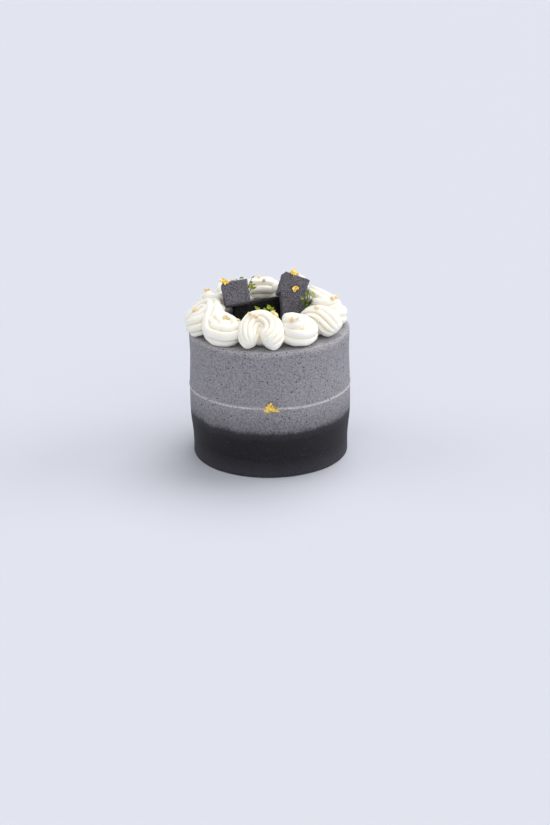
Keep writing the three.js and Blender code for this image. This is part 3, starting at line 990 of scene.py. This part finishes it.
@dataclass
class Swirl:
    """One piped swirl: a ribbed rope along a curved way.

    In its own frame x runs along the ring to the right, y towards the cake's axis and z up
    from the top face.
    """

    name: str
    piping: Piping
    angle: float
    scale: float = 1.0
    outward: float = 0.0
    mirror: bool = False
    yaw: float = 0.0
    width: float = 1.0
    nuts: tuple[Nut, ...] = ()
    ring_radius: float = 53.0
    lobes: int = 5
    crease_depth: float = 0.34
    twist: float = 0.2
    # The ends round off over this share of the way, down to this share of the radius.
    tip_share: float = 0.06
    tip_least: float = 0.03
    slow: Wave = Wave(8.0, 0.45, 2, 7)
    # Fine lines along the ribs, read off a cylinder of this radius and height.
    lines: Wave = Wave(0.9, 0.22, 2, 9)
    lines_radius: float = 6.0
    lines_height: float = 2.2
    # Ellipsoids of cream, by their half sizes, that fill the turns from inside.
    mound: Triple = (13.0, 11.0, 10.0)
    heart: Triple = (5.5, 5.0, 6.2)
    heart_middle: Triple = (-1.8, 2.4, 19.5)
    # What would sink into the coat is pressed onto it at this height.
    lowest: float = 0.15
    voxel: float = 0.42
    soften_factor: float = 0.5
    soften_times: int = 2
    # Hollows are averaged this often. A hollow as deep as the value below gets the full painted
    # crease shade.
    crease_shade_spread: int = 26
    crease_shade_full: float = 0.85
    columns: int = 144
    rows: int = 260
    way_samples: int = 800
    ball_grid: tuple[int, int] = (24, 48)

    def surface(self) -> Surface:
        """The rope as one closed tube, and the cream under its turns.

        Formula: the ring at t has the way's radius times 1 less the crease depth times
        1 - |cos(lobes/2 angle)|^0.5, so that round ribs meet in sharp creases. The ribs
        turn by twist over the rope. Fine lines run along the ribs, slow noise makes them
        uneven, and both ends close as a quarter ellipse.

        Returns:
            The surface in the swirl's own frame.
        """
        way = even_steps(spline(np.array(self.piping.value), self.way_samples), self.rows)
        line, radius = way[:, :3], way[:, 3:]
        t = np.linspace(0.0, 1.0, self.rows)[:, None]
        theta = full_turn(self.columns)
        ways = ways_round(line, theta + 2 * np.pi * self.twist * t)
        ribs = np.abs(np.cos(0.5 * self.lobes * theta)) ** 0.5
        to_end = np.clip(np.minimum(t, 1 - t) / self.tip_share, 0, 1)
        tips = np.maximum(np.sqrt(1 - (1 - to_end) ** 2), self.tip_least)
        reach = radius * tips * (1 - self.crease_depth * (1 - ribs))
        rings = line[:, None] + reach[..., None] * ways
        x, y = self.lines_radius * np.cos(theta), self.lines_radius * np.sin(theta)
        # The salt takes each swirl to a part of the noise of its own.
        salt = 100 * self.angle
        drawn = grid_points(x, y, self.lines_height * t) + salt
        uneven = tips * (self.slow.at(rings + salt) + self.lines.at(drawn))
        rope = tube(rings + uneven[..., None] * ways, line[0], line[-1])
        parts = [rope, self.ball(self.mound, (0.0, 0.0, self.mound[2]))]
        if self.piping is Piping.CURL:
            parts.append(self.ball(self.heart, self.heart_middle))
        return joined(parts)

    def ball(self, half: Triple, middle: Triple) -> Surface:
        """Cream that fills the turns from inside, an ellipsoid by its two angles."""
        pole = np.array([0, 0, half[2]])
        return tube(sphere_ways(*self.ball_grid) * half + middle, middle - pole, middle + pole)

    def matrix(self) -> Matrix:
        """Place the swirl's own frame on the top face.

        Returns:
            The 4 by 4 matrix.
        """
        flip = -self.scale if self.mirror else self.scale
        return (
            placement((0, 0, 0), (self.angle,), "Z")
            @ placement((0, -self.ring_radius - self.outward, 0), (self.yaw,), "Z")
            @ Matrix.Diagonal((flip * self.width, self.scale, self.scale, 1.0))
        )

    def build(self, top: Matrix, finish: Material) -> Object:
        """Make the swirl's piece: the rope, its turns melted into one skin.

        Args:
            top: Place of the top face.
            finish: The cream.

        Returns:
            The piece.
        """
        surface = self.surface().moved(self.matrix())
        surface.points[:, 2] = np.maximum(surface.points[:, 2], self.lowest)
        piece = surface.moved(top).to_object("cream_" + self.name)
        melt = piece.modifiers.new("melt", "REMESH")
        melt.mode = "VOXEL"
        melt.voxel_size = self.voxel * MM
        soften = piece.modifiers.new("soften", "SMOOTH")
        soften.factor = self.soften_factor
        soften.iterations = self.soften_times
        bake_modifiers(piece)
        # How deep each place lies in a crease, kept for the cream's painted crease shade.
        crease = concavity(piece.data, self.crease_shade_spread) / self.crease_shade_full
        add_value(piece.data, "crease", np.clip(crease, 0, 1))
        piece.data.materials.append(finish)
        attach(piece, "root")
        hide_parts(self.name)
        return piece


@dataclass
class CreamRing:
    """All swirls of the ring, from the back left round by the front."""

    swirls: tuple[Swirl, ...] = (
        Swirl(
            "swirl_01", Piping.CURL, -108, 1.14, yaw=10, mirror=True,
            nuts=(Nut(-102.3, 58.1, 6.4),),
        ),
        Swirl(
            "swirl_02", Piping.FOLD, -80, 1.06, outward=4, lobes=7,
            nuts=(Nut(-84.2, 69.0, 6.2), Nut(-91.5, 44.5, 5.6)),
        ),
        Swirl(
            "swirl_03", Piping.SWEEP, -46.5, 1.06, outward=3,
            nuts=(Nut(-45.6, 53.9, 7.6), Nut(-33.0, 50.0, 4.0)),
        ),
        Swirl(
            "swirl_04", Piping.FOLD, -8, 1.06, lobes=11, crease_depth=0.27, twist=0.1,
            nuts=(Nut(-17.2, 54.6, 5.4), Nut(-10.9, 55.5, 5.6), Nut(6.6, 50.0, 9.4, -55)),
        ),
        Swirl(
            "swirl_05", Piping.CURL, 27.5, outward=2,
            nuts=(Nut(19.9, 63.0, 5.2), Nut(24.4, 64.4, 3.4)),
        ),
        Swirl(
            "swirl_06", Piping.SHELL, 60, width=1.3, lobes=11, twist=0.04,
            nuts=(Nut(54.9, 53.9, 6.4),),
        ),
        Swirl(
            "swirl_07", Piping.CURL, 92, outward=2,
            nuts=(Nut(82.2, 60.4, 5.2), Nut(86.5, 63.8, 5.6), Nut(90.1, 38.9, 4.0)),
        ),
        Swirl(
            "swirl_08", Piping.FOLD, 124, 1.03, lobes=7,
            nuts=(Nut(113.9, 39.3, 5.0), Nut(128.0, 58.0, 4.0)),
        ),
        Swirl(
            "swirl_09", Piping.CURL, 157, 1.18,
            nuts=(Nut(150.0, 58.0, 5.0), Nut(161.0, 52.0, 4.0)),
        ),
        Swirl(
            "swirl_10", Piping.FOLD, 190, 1.16, lobes=7,
            nuts=(Nut(189.5, 48.6, 4.6), Nut(184.3, 41.0, 5.2)),
        ),
        Swirl(
            "swirl_11", Piping.CURL, 221, 1.14, mirror=True,
            nuts=(Nut(212.2, 62.0, 4.2), Nut(224.0, 54.0, 4.8)),
        ),
    )

    def build(self, top: Matrix, finish: WhippedCream) -> dict[str, Object]:
        """Make every swirl and return the pieces by the swirl's name."""
        material = finish.make()
        return {swirl.name: swirl.build(top, material) for swirl in self.swirls}


@dataclass
class NutBits:
    """The nut bits that lie on the ring, all in one piece."""

    sink: float = 0.2
    # Half the width and the height by the length: the least share, and what chance adds.
    width: tuple[float, float] = (0.27, 0.1)
    height: tuple[float, float] = (0.24, 0.08)
    cuts: int = 12
    deepest_cut: float = 0.74
    sharpness: int = 9
    above: float = 60.0
    rows: int = 26
    columns: int = 40

    def chunk(self, half: Triple, seed: int) -> Surface:
        """One chopped bit.

        Formula: in each direction the distance to the nearest of some random planes and the
        sides of a cube, eased so that the edges are round, stretched to its half sizes.

        Args:
            half: Its half sizes.
            seed: Picks the planes.

        Returns:
            The closed surface round the origin.
        """
        rng = np.random.default_rng(seed)
        cuts = unit(rng.normal(size=(self.cuts, 3)))
        normals = np.concatenate([cuts, np.eye(3), -np.eye(3)])
        planes = np.append(rng.uniform(self.deepest_cut, 1.0, self.cuts), np.ones(6))

        def edge(ways: Array) -> Array:
            """Points at the eased nearest distance to the planes."""
            facing = (np.maximum(ways @ normals.T, 0) / planes) ** self.sharpness
            return ways * facing.sum(axis=-1, keepdims=True) ** (-1 / self.sharpness) * half

        poles = edge(np.array([[0, 0, -1], [0, 0, 1]]))
        return tube(edge(sphere_ways(self.rows, self.columns)), *poles)

    def build(
        self, carriers: list[tuple[Object, tuple[Nut, ...], int]], top: Matrix, finish: ChoppedNut
    ) -> Object:
        """Set each bit down on what carries it, found by a ray from above.

        A bit lies along the mean of the surface's direction and the upright.

        Args:
            carriers: Each piece that carries bits, with its bits and a seed.
            top: Place of the top face.
            finish: The nut.

        Returns:
            The piece with all bits.
        """
        up = Vector((0, 0, 1))
        bits = []
        for carrier, nuts, seed in carriers:
            tree = BVHTree.FromPolygons(
                [v.co for v in carrier.data.vertices], [p.vertices for p in carrier.data.polygons]
            )
            draw = RepeatableDraw(seed)
            for number, nut in enumerate(nuts):
                spin = 360 * draw() if nut.spin is None else nut.spin
                shares = [least + chance * draw() for least, chance in (self.width, self.height)]
                half = (nut.length / 2, nut.length * shares[0], nut.length * shares[1])
                turn = Matrix.Rotation(math.radians(nut.angle), 3, "Z")
                start = top @ (turn @ Vector((0, -nut.distance, self.above)))
                spot, normal = tree.ray_cast(start * MM, -up)[:2]
                if spot is None:
                    continue
                outward = (normal + up).normalized()
                middle = spot / MM + (1 - 2 * self.sink) * half[2] * outward
                tip = up.rotation_difference(outward).to_matrix().to_4x4()
                place = Matrix.Translation(middle) @ tip @ placement((0, 0, 0), (spin,), "Z")
                bits.append(self.chunk(half, 10 * seed + number).moved(place))
        piece = joined(bits).to_object("nut_bits")
        piece.data.materials.append(finish.make())
        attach(piece, "root")
        return piece


# ------------------------------------------------------------------ the cut sponge


@dataclass
class CutSponge:
    """One cut piece of dark sponge."""

    name: str
    size: Triple
    centre: Triple
    turn: Triple
    seed: int
    taper: float = 0.0
    nuts: tuple[Nut, ...] = ()
    wear: float = 0.9
    slow: Wave = Wave(8.0, 0.35, 2)
    crumb: Wave = Wave(1.5, 0.32, 3, 3)
    # A pore opens where this noise is over its start, and is deepest at pore_depth.
    pores: Wave = Wave(1.25, 1.0, 1, 5)
    pore_start: float = 0.42
    pore_depth: float = 1.5
    # Width of the faces, and the distance within which the sides' points become one.
    step: float = 0.34
    weld: float = 0.01

    def side(self, axis: int, sign: int) -> Surface:
        """One side of the block as a grid, corners at plus and minus one.

        Args:
            axis: The axis that it faces along, 0 to 2.
            sign: The way that it faces, plus or minus one.

        Returns:
            The open surface, faces pointing out.
        """
        u_axis, v_axis = (axis + 1) % 3, (axis + 2) % 3
        steps = [round(self.size[k] / self.step) for k in (u_axis, v_axis)]
        u, v = np.meshgrid(*(np.linspace(-1, 1, n + 1) for n in steps), indexing="ij")
        points = np.full((*u.shape, 3), float(sign))
        points[..., u_axis], points[..., v_axis] = u, v
        index = np.arange(u.size).reshape(u.shape)
        quads = [index[:-1, :-1], index[1:, :-1], index[1:, 1:], index[:-1, 1:]]
        return Surface(points.reshape(-1, 3), np.stack(quads, axis=-1).reshape(-1, 4)[:, ::sign])

    def surface(self) -> Surface:
        """The block with worn edges and an open crumb.

        Formula: a box with rounded edges, wider at the upper end by the taper's share. Its
        points move along their own direction by slow waves and by fine noise, and inwards
        by pores where a coarser noise is high.

        Returns:
            The surface round the origin, its sides not yet welded.
        """
        block = joined([self.side(axis, sign) for axis in range(3) for sign in (-1, 1)])
        half = np.array(self.size) / 2
        # The box's core shrinks by the wear, and a ball of that radius goes round it.
        corner = block.points
        core = np.clip(corner * half, self.wear - half, half - self.wear)
        outward = unit(corner * half - core)
        points = core + self.wear * outward
        points[:, 0] *= 1 + self.taper * corner[:, 2]
        # The salt takes each block to a part of the noise of its own.
        salted = points + 50 * self.seed
        pores = np.maximum(self.pores.at(salted, self.seed) - self.pore_start, 0)
        lift = self.slow.at(salted, self.seed) + self.crumb.at(salted, self.seed)
        block.points = points + outward * (lift - self.pore_depth * pores)[:, None]
        return block

    def build(self, top: Matrix, finish: Material) -> Object:
        """Make the piece and dress it.

        Args:
            top: Place of the top face.
            finish: The crumb.

        Returns:
            The piece.
        """
        surface = self.surface().moved(top @ placement(self.centre, self.turn))
        piece = surface.to_object("crumb_" + self.name, self.weld)
        piece.data.materials.append(finish)
        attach(piece, "root")
        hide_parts(self.name)
        return piece


@dataclass
class SpongePieces:
    """The four cut pieces inside the ring."""

    pieces: tuple[CutSponge, ...] = (
        CutSponge(
            "sponge_left", (23.3, 22.5, 21.4), (-30.3, 2.0, 32.0), (-26, -8.7, 5.5), 11,
            nuts=(Nut(-95.3, 32.2, 5.4, 0),),
        ),
        CutSponge(
            "sponge_upper", (24.4, 23.0, 21.0), (22.6, 20.0, 31.0), (-27.7, 20.0, 10.4), 23
        ),
        CutSponge(
            "sponge_lower", (21.8, 20.0, 34.6), (22.3, 10.2, 14.9), (-15, 2, 6), 37, taper=0.13
        ),
        CutSponge("sponge_slab", (48.0, 7.0, 22.6), (-11.2, 11.9, 9.6), (-3, -3.5, 28), 51),
    )

    def build(self, top: Matrix, finish: CharcoalSponge, darker: ShadedSponge) -> list[Object]:
        """Make all four pieces.

        Args:
            top: Place of the top face.
            finish: The sponge of the cubes.
            darker: The sponge of the slab, painted darker as painted shade.

        Returns:
            The pieces.
        """
        # The slab gets the sponge painted nearly black, painted shade.
        plain, dark = finish.make(), darker.make()
        return [
            piece.build(top, dark if piece.name == "sponge_slab" else plain)
            for piece in self.pieces
        ]


# ------------------------------------------------------------------ gold and leaves


@dataclass(frozen=True)
class Flake:
    """One crumpled flake of gold leaf and where it lies."""

    at: Triple
    size: tuple[float, float]
    turn: Triple
    seed: int
    on_top: bool = True
    # Widths of its sheets by the flake's, from the lowest up, a step apart.
    sheets: tuple[float, ...] = (1.0, 0.72, 0.6)
    sheet_step: float = 0.35
    # The upper sheets are tipped by up to this many radians and shifted by this share.
    tip: float = 0.5
    shift: float = 0.16
    # The torn edge's mean radius, and its noise, read round a circle of this radius.
    edge: float = 0.8
    tears: Wave = Wave(1.0, 0.42, 3)
    tear_circle: float = 2.2
    hub: float = 0.06
    crumple: float = 1.5
    folds: Wave = Wave(2.8, 1.0, 2, 40)
    small_folds: Wave = Wave(1.4, 0.5, 2, 41)
    fold_mean: float = 0.3
    thickness: float = 0.16
    rows: int = 22
    columns: int = 72

    def sheet(self, number: int) -> Surface:
        """One torn sheet of the flake.

        Formula: a disc whose edge radius is torn by jagged noise, bent by the absolute
        value of two slow noises, so that it has sharp folds. The lower side is the upper
        one moved down by the thickness, and both meet in the edge.

        Args:
            number: Its place among the sheets, from the lowest up.

        Returns:
            The closed surface in the flake's own frame.
        """
        salt = np.random.default_rng(100 * self.seed + number).uniform(-90, 90, 3)
        share = np.linspace(self.hub, 1.0, self.rows)
        share = np.append(share, share[::-1])[:, None]
        lower = np.repeat([0.0, 1.0], self.rows)[:, None]
        angle = full_turn(self.columns)[None, :]
        ways = grid_points(np.cos(angle), np.sin(angle), 0.0)
        torn = self.edge + self.tears.at(self.tear_circle * ways + salt, self.seed)
        reach = 0.5 * self.sheets[number] * share * torn
        flat = reach[..., None] * ways * (*self.size, 0.0)
        folds = np.abs(self.folds.at(flat + salt, self.seed)) - self.fold_mean
        folds += np.abs(self.small_folds.at(flat - salt, self.seed))
        z = self.crumple * folds - self.thickness * lower + self.sheet_step * number
        rings = grid_points(flat[..., 0], flat[..., 1], z)
        # The lower side runs from the middle to the edge, then the upper one back.
        return tube(rings[::-1], rings[-1].mean(axis=0), rings[0].mean(axis=0))

    def surface(self, top: Matrix) -> Surface:
        """All sheets of the flake, each tipped its own way, in place.

        Args:
            top: Place of the top face.

        Returns:
            The surface.
        """
        rng = np.random.default_rng(self.seed)
        base = (top if self.on_top else Matrix.Identity(4)) @ placement(self.at, self.turn)
        sheets = []
        for number in range(len(self.sheets)):
            tip = Euler(rng.uniform(-self.tip, self.tip, 3) * (number > 0)).to_matrix().to_4x4()
            shift = rng.uniform(-self.shift, self.shift, 2) * self.size * (number > 0)
            sheets.append(self.sheet(number).moved(base @ Matrix.Translation((*shift, 0)) @ tip))
        return joined(sheets)


@dataclass
class GoldLeaf:
    """All flakes of gold leaf, in one piece."""

    flakes: tuple[Flake, ...] = (
        Flake((-39.9, -5.6, 46.5), (9.6, 6.6), (50, 10, 10), 5),
        Flake((23.7, 12.6, 47.8), (6.8, 7.6), (65, 30, 10), 8),
        Flake((25.3, 4.0, 34.6), (6.8, 5.8), (62, 20, 0), 13),
        Flake((0.4, -76.6, 69.6), (13.4, 10.0), (90, -12, 0), 21, on_top=False),
    )

    def build(self, top: Matrix, finish: GoldLeafFoil) -> Object:
        """Make the piece and dress it.

        Args:
            top: Place of the top face.
            finish: The gold.

        Returns:
            The piece.
        """
        piece = joined([flake.surface(top) for flake in self.flakes]).to_object("gold_leaf")
        piece.data.materials.append(finish.make())
        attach(piece, "root")
        return piece


class Leaf(NamedTuple):
    """One leaf: place of its base, degrees that it points up from +X, length and width.

    The tone is 1 for a bright leaf and nears 0 for one as dark as the stems.
    """

    x: float
    y: float
    z: float
    heading: float
    length: float
    width: float
    tone: float = 1.0


@dataclass
class Sprig:
    """A thin stem from one root to each leaf."""

    name: str
    root: Triple
    seed: int
    leaves: tuple[Leaf, ...]
    stem_radius: float = 0.32
    stem_narrowing: tuple[float, float] = (1.15, 0.75)
    # The stem ends this far inside the leaf. Its middle point has these shares of the way.
    stem_hold: float = 0.3
    stem_bend: Triple = (0.35, 0.35, 0.65)
    leaf_thickness: float = 0.34
    # Bends of a leaf: the least curl and wave, and what chance adds to each.
    leaf_curl: tuple[float, float] = (0.03, 0.04)
    leaf_wave: tuple[float, float] = (0.15, 0.15)
    wave_turn: float = 1.4
    leaf_valley: float = 0.22
    leaf_cup: float = 0.12
    # A leaf turns away from facing the front by up to half this many degrees each way.
    leaf_turn: float = 50.0
    leaf_rows: int = 20
    leaf_columns: int = 24
    leaf_gap: float = 0.02
    stem_rows: int = 24
    stem_columns: int = 10
    way_samples: int = 60

    def stem(self, line: Array) -> Surface:
        """A round tube along a line that narrows by a third towards the tip.

        Args:
            line: Points of the line, from the root up.

        Returns:
            The closed surface.
        """
        radius = self.stem_radius * np.linspace(*self.stem_narrowing, len(line))[:, None, None]
        rings = line[:, None] + radius * ways_round(line, full_turn(self.stem_columns))
        stem = tube(rings, line[0], line[-1])
        stem.values["blade"] = np.zeros(len(stem.points))
        return stem

    def blade(self, leaf: Leaf, draw: RepeatableDraw) -> Surface:
        """One leaf, root at the origin, tip along x.

        Formula: half the width is width/2 times sin(pi v^0.8). The height is a curl in x²,
        a wave in x, a valley in |y| along the midrib, and plus or minus half the thickness.

        Args:
            leaf: Its sizes.
            draw: Gives its curl and its wave.

        Returns:
            The closed surface.
        """
        curl, wave = (least + chance * draw() for least, chance in (self.leaf_curl, self.leaf_wave))
        v = np.linspace(self.leaf_gap, 1 - self.leaf_gap, self.leaf_rows)[:, None]
        angle = full_turn(self.leaf_columns)
        half = 0.5 * leaf.length

        def lift(x: Array | float, y: Array | float) -> Array:
            """Height of the leaf's middle sheet."""
            bend = curl * x**2 + wave * np.sin(self.wave_turn * x + y) + self.leaf_cup * y**2
            return bend + self.leaf_valley * np.abs(y)

        x = leaf.length * (v - 0.5)
        y = 0.5 * leaf.width * np.sin(np.pi * v**0.8) * np.cos(angle)
        z = lift(x, y) + 0.5 * self.leaf_thickness * np.sin(angle)
        ground = np.array([-half, 0, lift(-half, 0.0)])
        tip = np.array([half, 0, lift(half, 0.0)])
        blade = tube(grid_points(x, y, z) - ground, np.zeros(3), tip - ground)
        blade.values["blade"] = np.full(len(blade.points), leaf.tone)
        return blade

    def surface(self) -> Surface:
        """All stems and leaves.

        Formula: a stem is a quadratic curve whose middle point has two thirds of the leaf's
        height and one third of its distance, so it goes up first and then spreads.

        Returns:
            The surface. Its value "blade" is a leaf's tone, and 0 on a stem.
        """
        draw = RepeatableDraw(self.seed)
        root = np.array(self.root)
        share = np.linspace(0, 1, self.way_samples)[:, None]
        parts = []
        for leaf in self.leaves:
            tips = [self.leaf_turn * (draw() - 0.5) for _ in range(2)]
            place = placement(leaf[:3], (90 + tips[0], tips[1], leaf.heading))
            parts.append(self.blade(leaf, draw).moved(place))
            heading = math.radians(leaf.heading)
            into = self.stem_hold * np.array([math.cos(heading), 0, math.sin(heading)])
            end = np.array(leaf[:3]) + into
            bend = root + self.stem_bend * (end - root)
            curve = (1 - share) ** 2 * root + 2 * share * (1 - share) * bend + share**2 * end
            parts.append(self.stem(even_steps(curve, self.stem_rows)))
        return joined(parts)

    def build(self, top: Matrix, finish: Material) -> Object:
        """Make the piece and dress it.

        Args:
            top: Place of the top face.
            finish: The herb.

        Returns:
            The piece.
        """
        piece = self.surface().moved(top).to_object("herb_" + self.name)
        piece.data.materials.append(finish)
        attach(piece, "root")
        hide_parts(self.name)
        return piece


@dataclass
class Sprigs:
    """The green sprigs between the sponge and the cream."""

    sprigs: tuple[Sprig, ...] = (
        Sprig("sprig_left", (-24.0, 21.0, 8.0), 3, (
            Leaf(-15.3, 18, 41.9, 36, 3.8, 1.3, 0.7), Leaf(-17.3, 17, 37.9, 30, 4.0, 2.2, 0.5),
            Leaf(-14.1, 16, 36.0, 16, 2.6, 1.3, 0.3), Leaf(-17.2, 17, 35.6, 35, 3.6, 2.6),
            Leaf(-17.4, 16, 32.6, 45, 4.6, 3.6), Leaf(-16.1, 15, 32.1, 21, 6.4, 2.4, 0.6),
            Leaf(-11.7, 14, 23.2, 22, 3.4, 1.7, 0.7),
        )),
        Sprig("sprig_front", (-4.0, -6.0, 3.0), 7, (
            Leaf(-7.3, -12.5, 19.2, 139, 7.6, 3.2), Leaf(-1.6, -12.5, 17.0, 120, 6.2, 3.6, 0.8),
            Leaf(-2.9, -13.0, 17.1, 134, 4.6, 2.6, 0.9), Leaf(1.5, -11.5, 20.2, 119, 5.6, 3.9),
            Leaf(1.3, -11.5, 21.3, 21, 4.4, 2.8), Leaf(1.0, -12.0, 18.0, 45, 4.8, 3.0, 0.3),
            Leaf(1.4, -13.0, 18.0, 18, 5.6, 3.6),
        )),
        Sprig("sprig_right", (35.6, 0.4, 12.0), 9, (
            Leaf(42.5, 0, 28.5, 109, 4.9, 2.4), Leaf(39.2, -1, 25.4, -59, 3.2, 1.9, 0.2),
            Leaf(39.0, 1, 28.9, 121, 3.8, 1.6, 0.5), Leaf(35.9, 0, 28.0, 104, 5.0, 2.1, 0.7),
            Leaf(37.4, 1, 32.7, 92, 3.2, 1.9, 0.8), Leaf(32.5, -2, 25.7, 128, 3.8, 2.0, 0.8),
            Leaf(33.5, -2, 22.0, 130, 4.1, 2.6, 0.2), Leaf(35.4, -1, 21.2, 114, 4.8, 2.6, 0.1),
            Leaf(35.6, -1, 22.6, 61, 4.4, 2.6, 0.3), Leaf(35.7, -2, 20.0, -41, 3.6, 2.4, 0.1),
            Leaf(34.8, -2, 19.1, 159, 3.4, 2.6, 0.1), Leaf(35.4, -3, 18.8, 77, 4.2, 2.6, 0.2),
        )),
        Sprig("sprig_back", (-27.4, 22.6, 30.0), 15, (
            Leaf(-26.2, 20, 42.4, -15, 4.0, 2.0), Leaf(-31.0, 20, 40.2, -14, 3.8, 1.8),
        )),
    )

    def build(self, top: Matrix, finish: GreenLeaf) -> list[Object]:
        """Make all sprigs."""
        material = finish.make()
        return [sprig.build(top, material) for sprig in self.sprigs]


# ------------------------------------------------------------------ the studio


@dataclass(frozen=True)
class PhotoCamera:
    """The camera as it was found from the cake's outlines."""

    focal_px: float = 1700.0
    frame_height_px: float = 825.0
    sensor_height: float = 36.0
    farthest: float = 50000.0
    position: Triple = (0.0, -1510.0, 633.0)
    pitch_deg: float = 21.57
    yaw_deg: float = 0.17
    roll_deg: float = 0.67

    def build(self) -> Object:
        """Make the camera and set it as the scene's.

        Returns:
            The camera.
        """
        data = bpy.data.cameras.new("photo_camera")
        data.sensor_fit = "VERTICAL"
        data.sensor_height = self.sensor_height
        data.lens = self.sensor_height * self.focal_px / self.frame_height_px
        data.clip_end = self.farthest * MM
        camera = bpy.data.objects.new("photo_camera", data)
        turn = (-self.yaw_deg, 90 - self.pitch_deg, -self.roll_deg)
        camera.matrix_world = placement(Vector(self.position) * MM, turn, "ZXZ")
        bpy.context.scene.collection.objects.link(camera)
        bpy.context.scene.camera = camera
        return camera


@dataclass(frozen=True)
class SoftLight:
    """A broad, far light, given by where it comes from."""

    name: str
    azimuth_deg: float
    elevation_deg: float
    spread_deg: float
    strength: float

    def build(self) -> Object:
        """Make the light. Azimuth 0 is the front, 90 the right.

        Returns:
            The light.
        """
        data = bpy.data.lights.new(self.name, "SUN")
        data.energy = self.strength
        data.angle = math.radians(self.spread_deg)
        light = bpy.data.objects.new(self.name, data)
        turn = (self.azimuth_deg, 90 - self.elevation_deg)
        light.matrix_world = placement((0, 0, 0), turn, "ZX")
        bpy.context.scene.collection.objects.link(light)
        return light


@dataclass
class Studio:
    """Pale paper floor, an even sky and broad lights from above and the sides."""

    # The floor's innermost and outermost ring, and how many rings of how many points.
    inner_radius: float = 50.0
    floor_radius: float = 9000.0
    floor_grid: tuple[int, int] = (12, 96)
    sky: str = "#f3f3f6"
    sky_strength: float = 0.46
    lights: tuple[SoftLight, ...] = (
        SoftLight("overhead", 150.0, 62.0, 40.0, 1.5),
        SoftLight("right_window", 98.0, 26.0, 40.0, 1.1),
        SoftLight("left_panel", 265.0, 30.0, 50.0, 0.6),
        SoftLight("front_fill", 20.0, 36.0, 90.0, 1.05),
    )

    def floor(self) -> Object:
        """A flat disc under the cake, as rings round its middle, facing up.

        Returns:
            The floor.
        """
        rows, columns = self.floor_grid
        angle = -full_turn(columns)
        radius = np.geomspace(self.inner_radius, self.floor_radius, rows)[:, None]
        rings = grid_points(radius * np.cos(angle), radius * np.sin(angle), 0.0)
        piece = tube(rings, np.zeros(3)).to_object("paper_floor")
        piece.data.materials.append(StudioPaper().make())
        return piece

    def build(self) -> None:
        """Make the floor, the sky and the lights."""
        self.floor()
        world = bpy.data.worlds.new("studio_sky")
        world.use_nodes = True
        sky = world.node_tree.nodes["Background"]
        sky.inputs["Color"].default_value = linear(self.sky)
        sky.inputs["Strength"].default_value = self.sky_strength
        bpy.context.scene.world = world
        for light in self.lights:
            light.build()


def main() -> None:
    """Build the studio, then the cake from the coat to the toppings, and report."""
    logging.basicConfig(level=logging.INFO, format="%(name)s: %(message)s")
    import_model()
    PhotoCamera().build()
    Studio().build()
    bpy.context.scene.view_settings.view_transform = "Standard"
    cake = CoatedCake()
    top = cake.top_matrix()
    pieces = [cake.build(CoatCream())]
    ring = CreamRing()
    cream = ring.build(top, WhippedCream())
    pieces += cream.values()
    sponge = SpongePieces()
    blocks = sponge.build(top, CharcoalSponge(), ShadedSponge())
    pieces += blocks
    carriers = [(cream[s.name], s.nuts, round(400 + s.angle)) for s in ring.swirls]
    carriers += [(block, s.nuts, s.seed) for block, s in zip(blocks, sponge.pieces)]
    nuts = NutBits().build(carriers, top, ChoppedNut())
    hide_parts(*cream, "sponge_left")
    pieces.append(nuts)
    gold = GoldLeaf().build(top, GoldLeafFoil())
    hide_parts("cake_body", "sponge_left", "sponge_upper")
    pieces.append(gold)
    pieces += Sprigs().build(top, GreenLeaf())
    for piece in pieces:
        LOG.info("%s: %d faces", piece.name, len(piece.data.polygons))


if __name__ == "__main__":
    main()
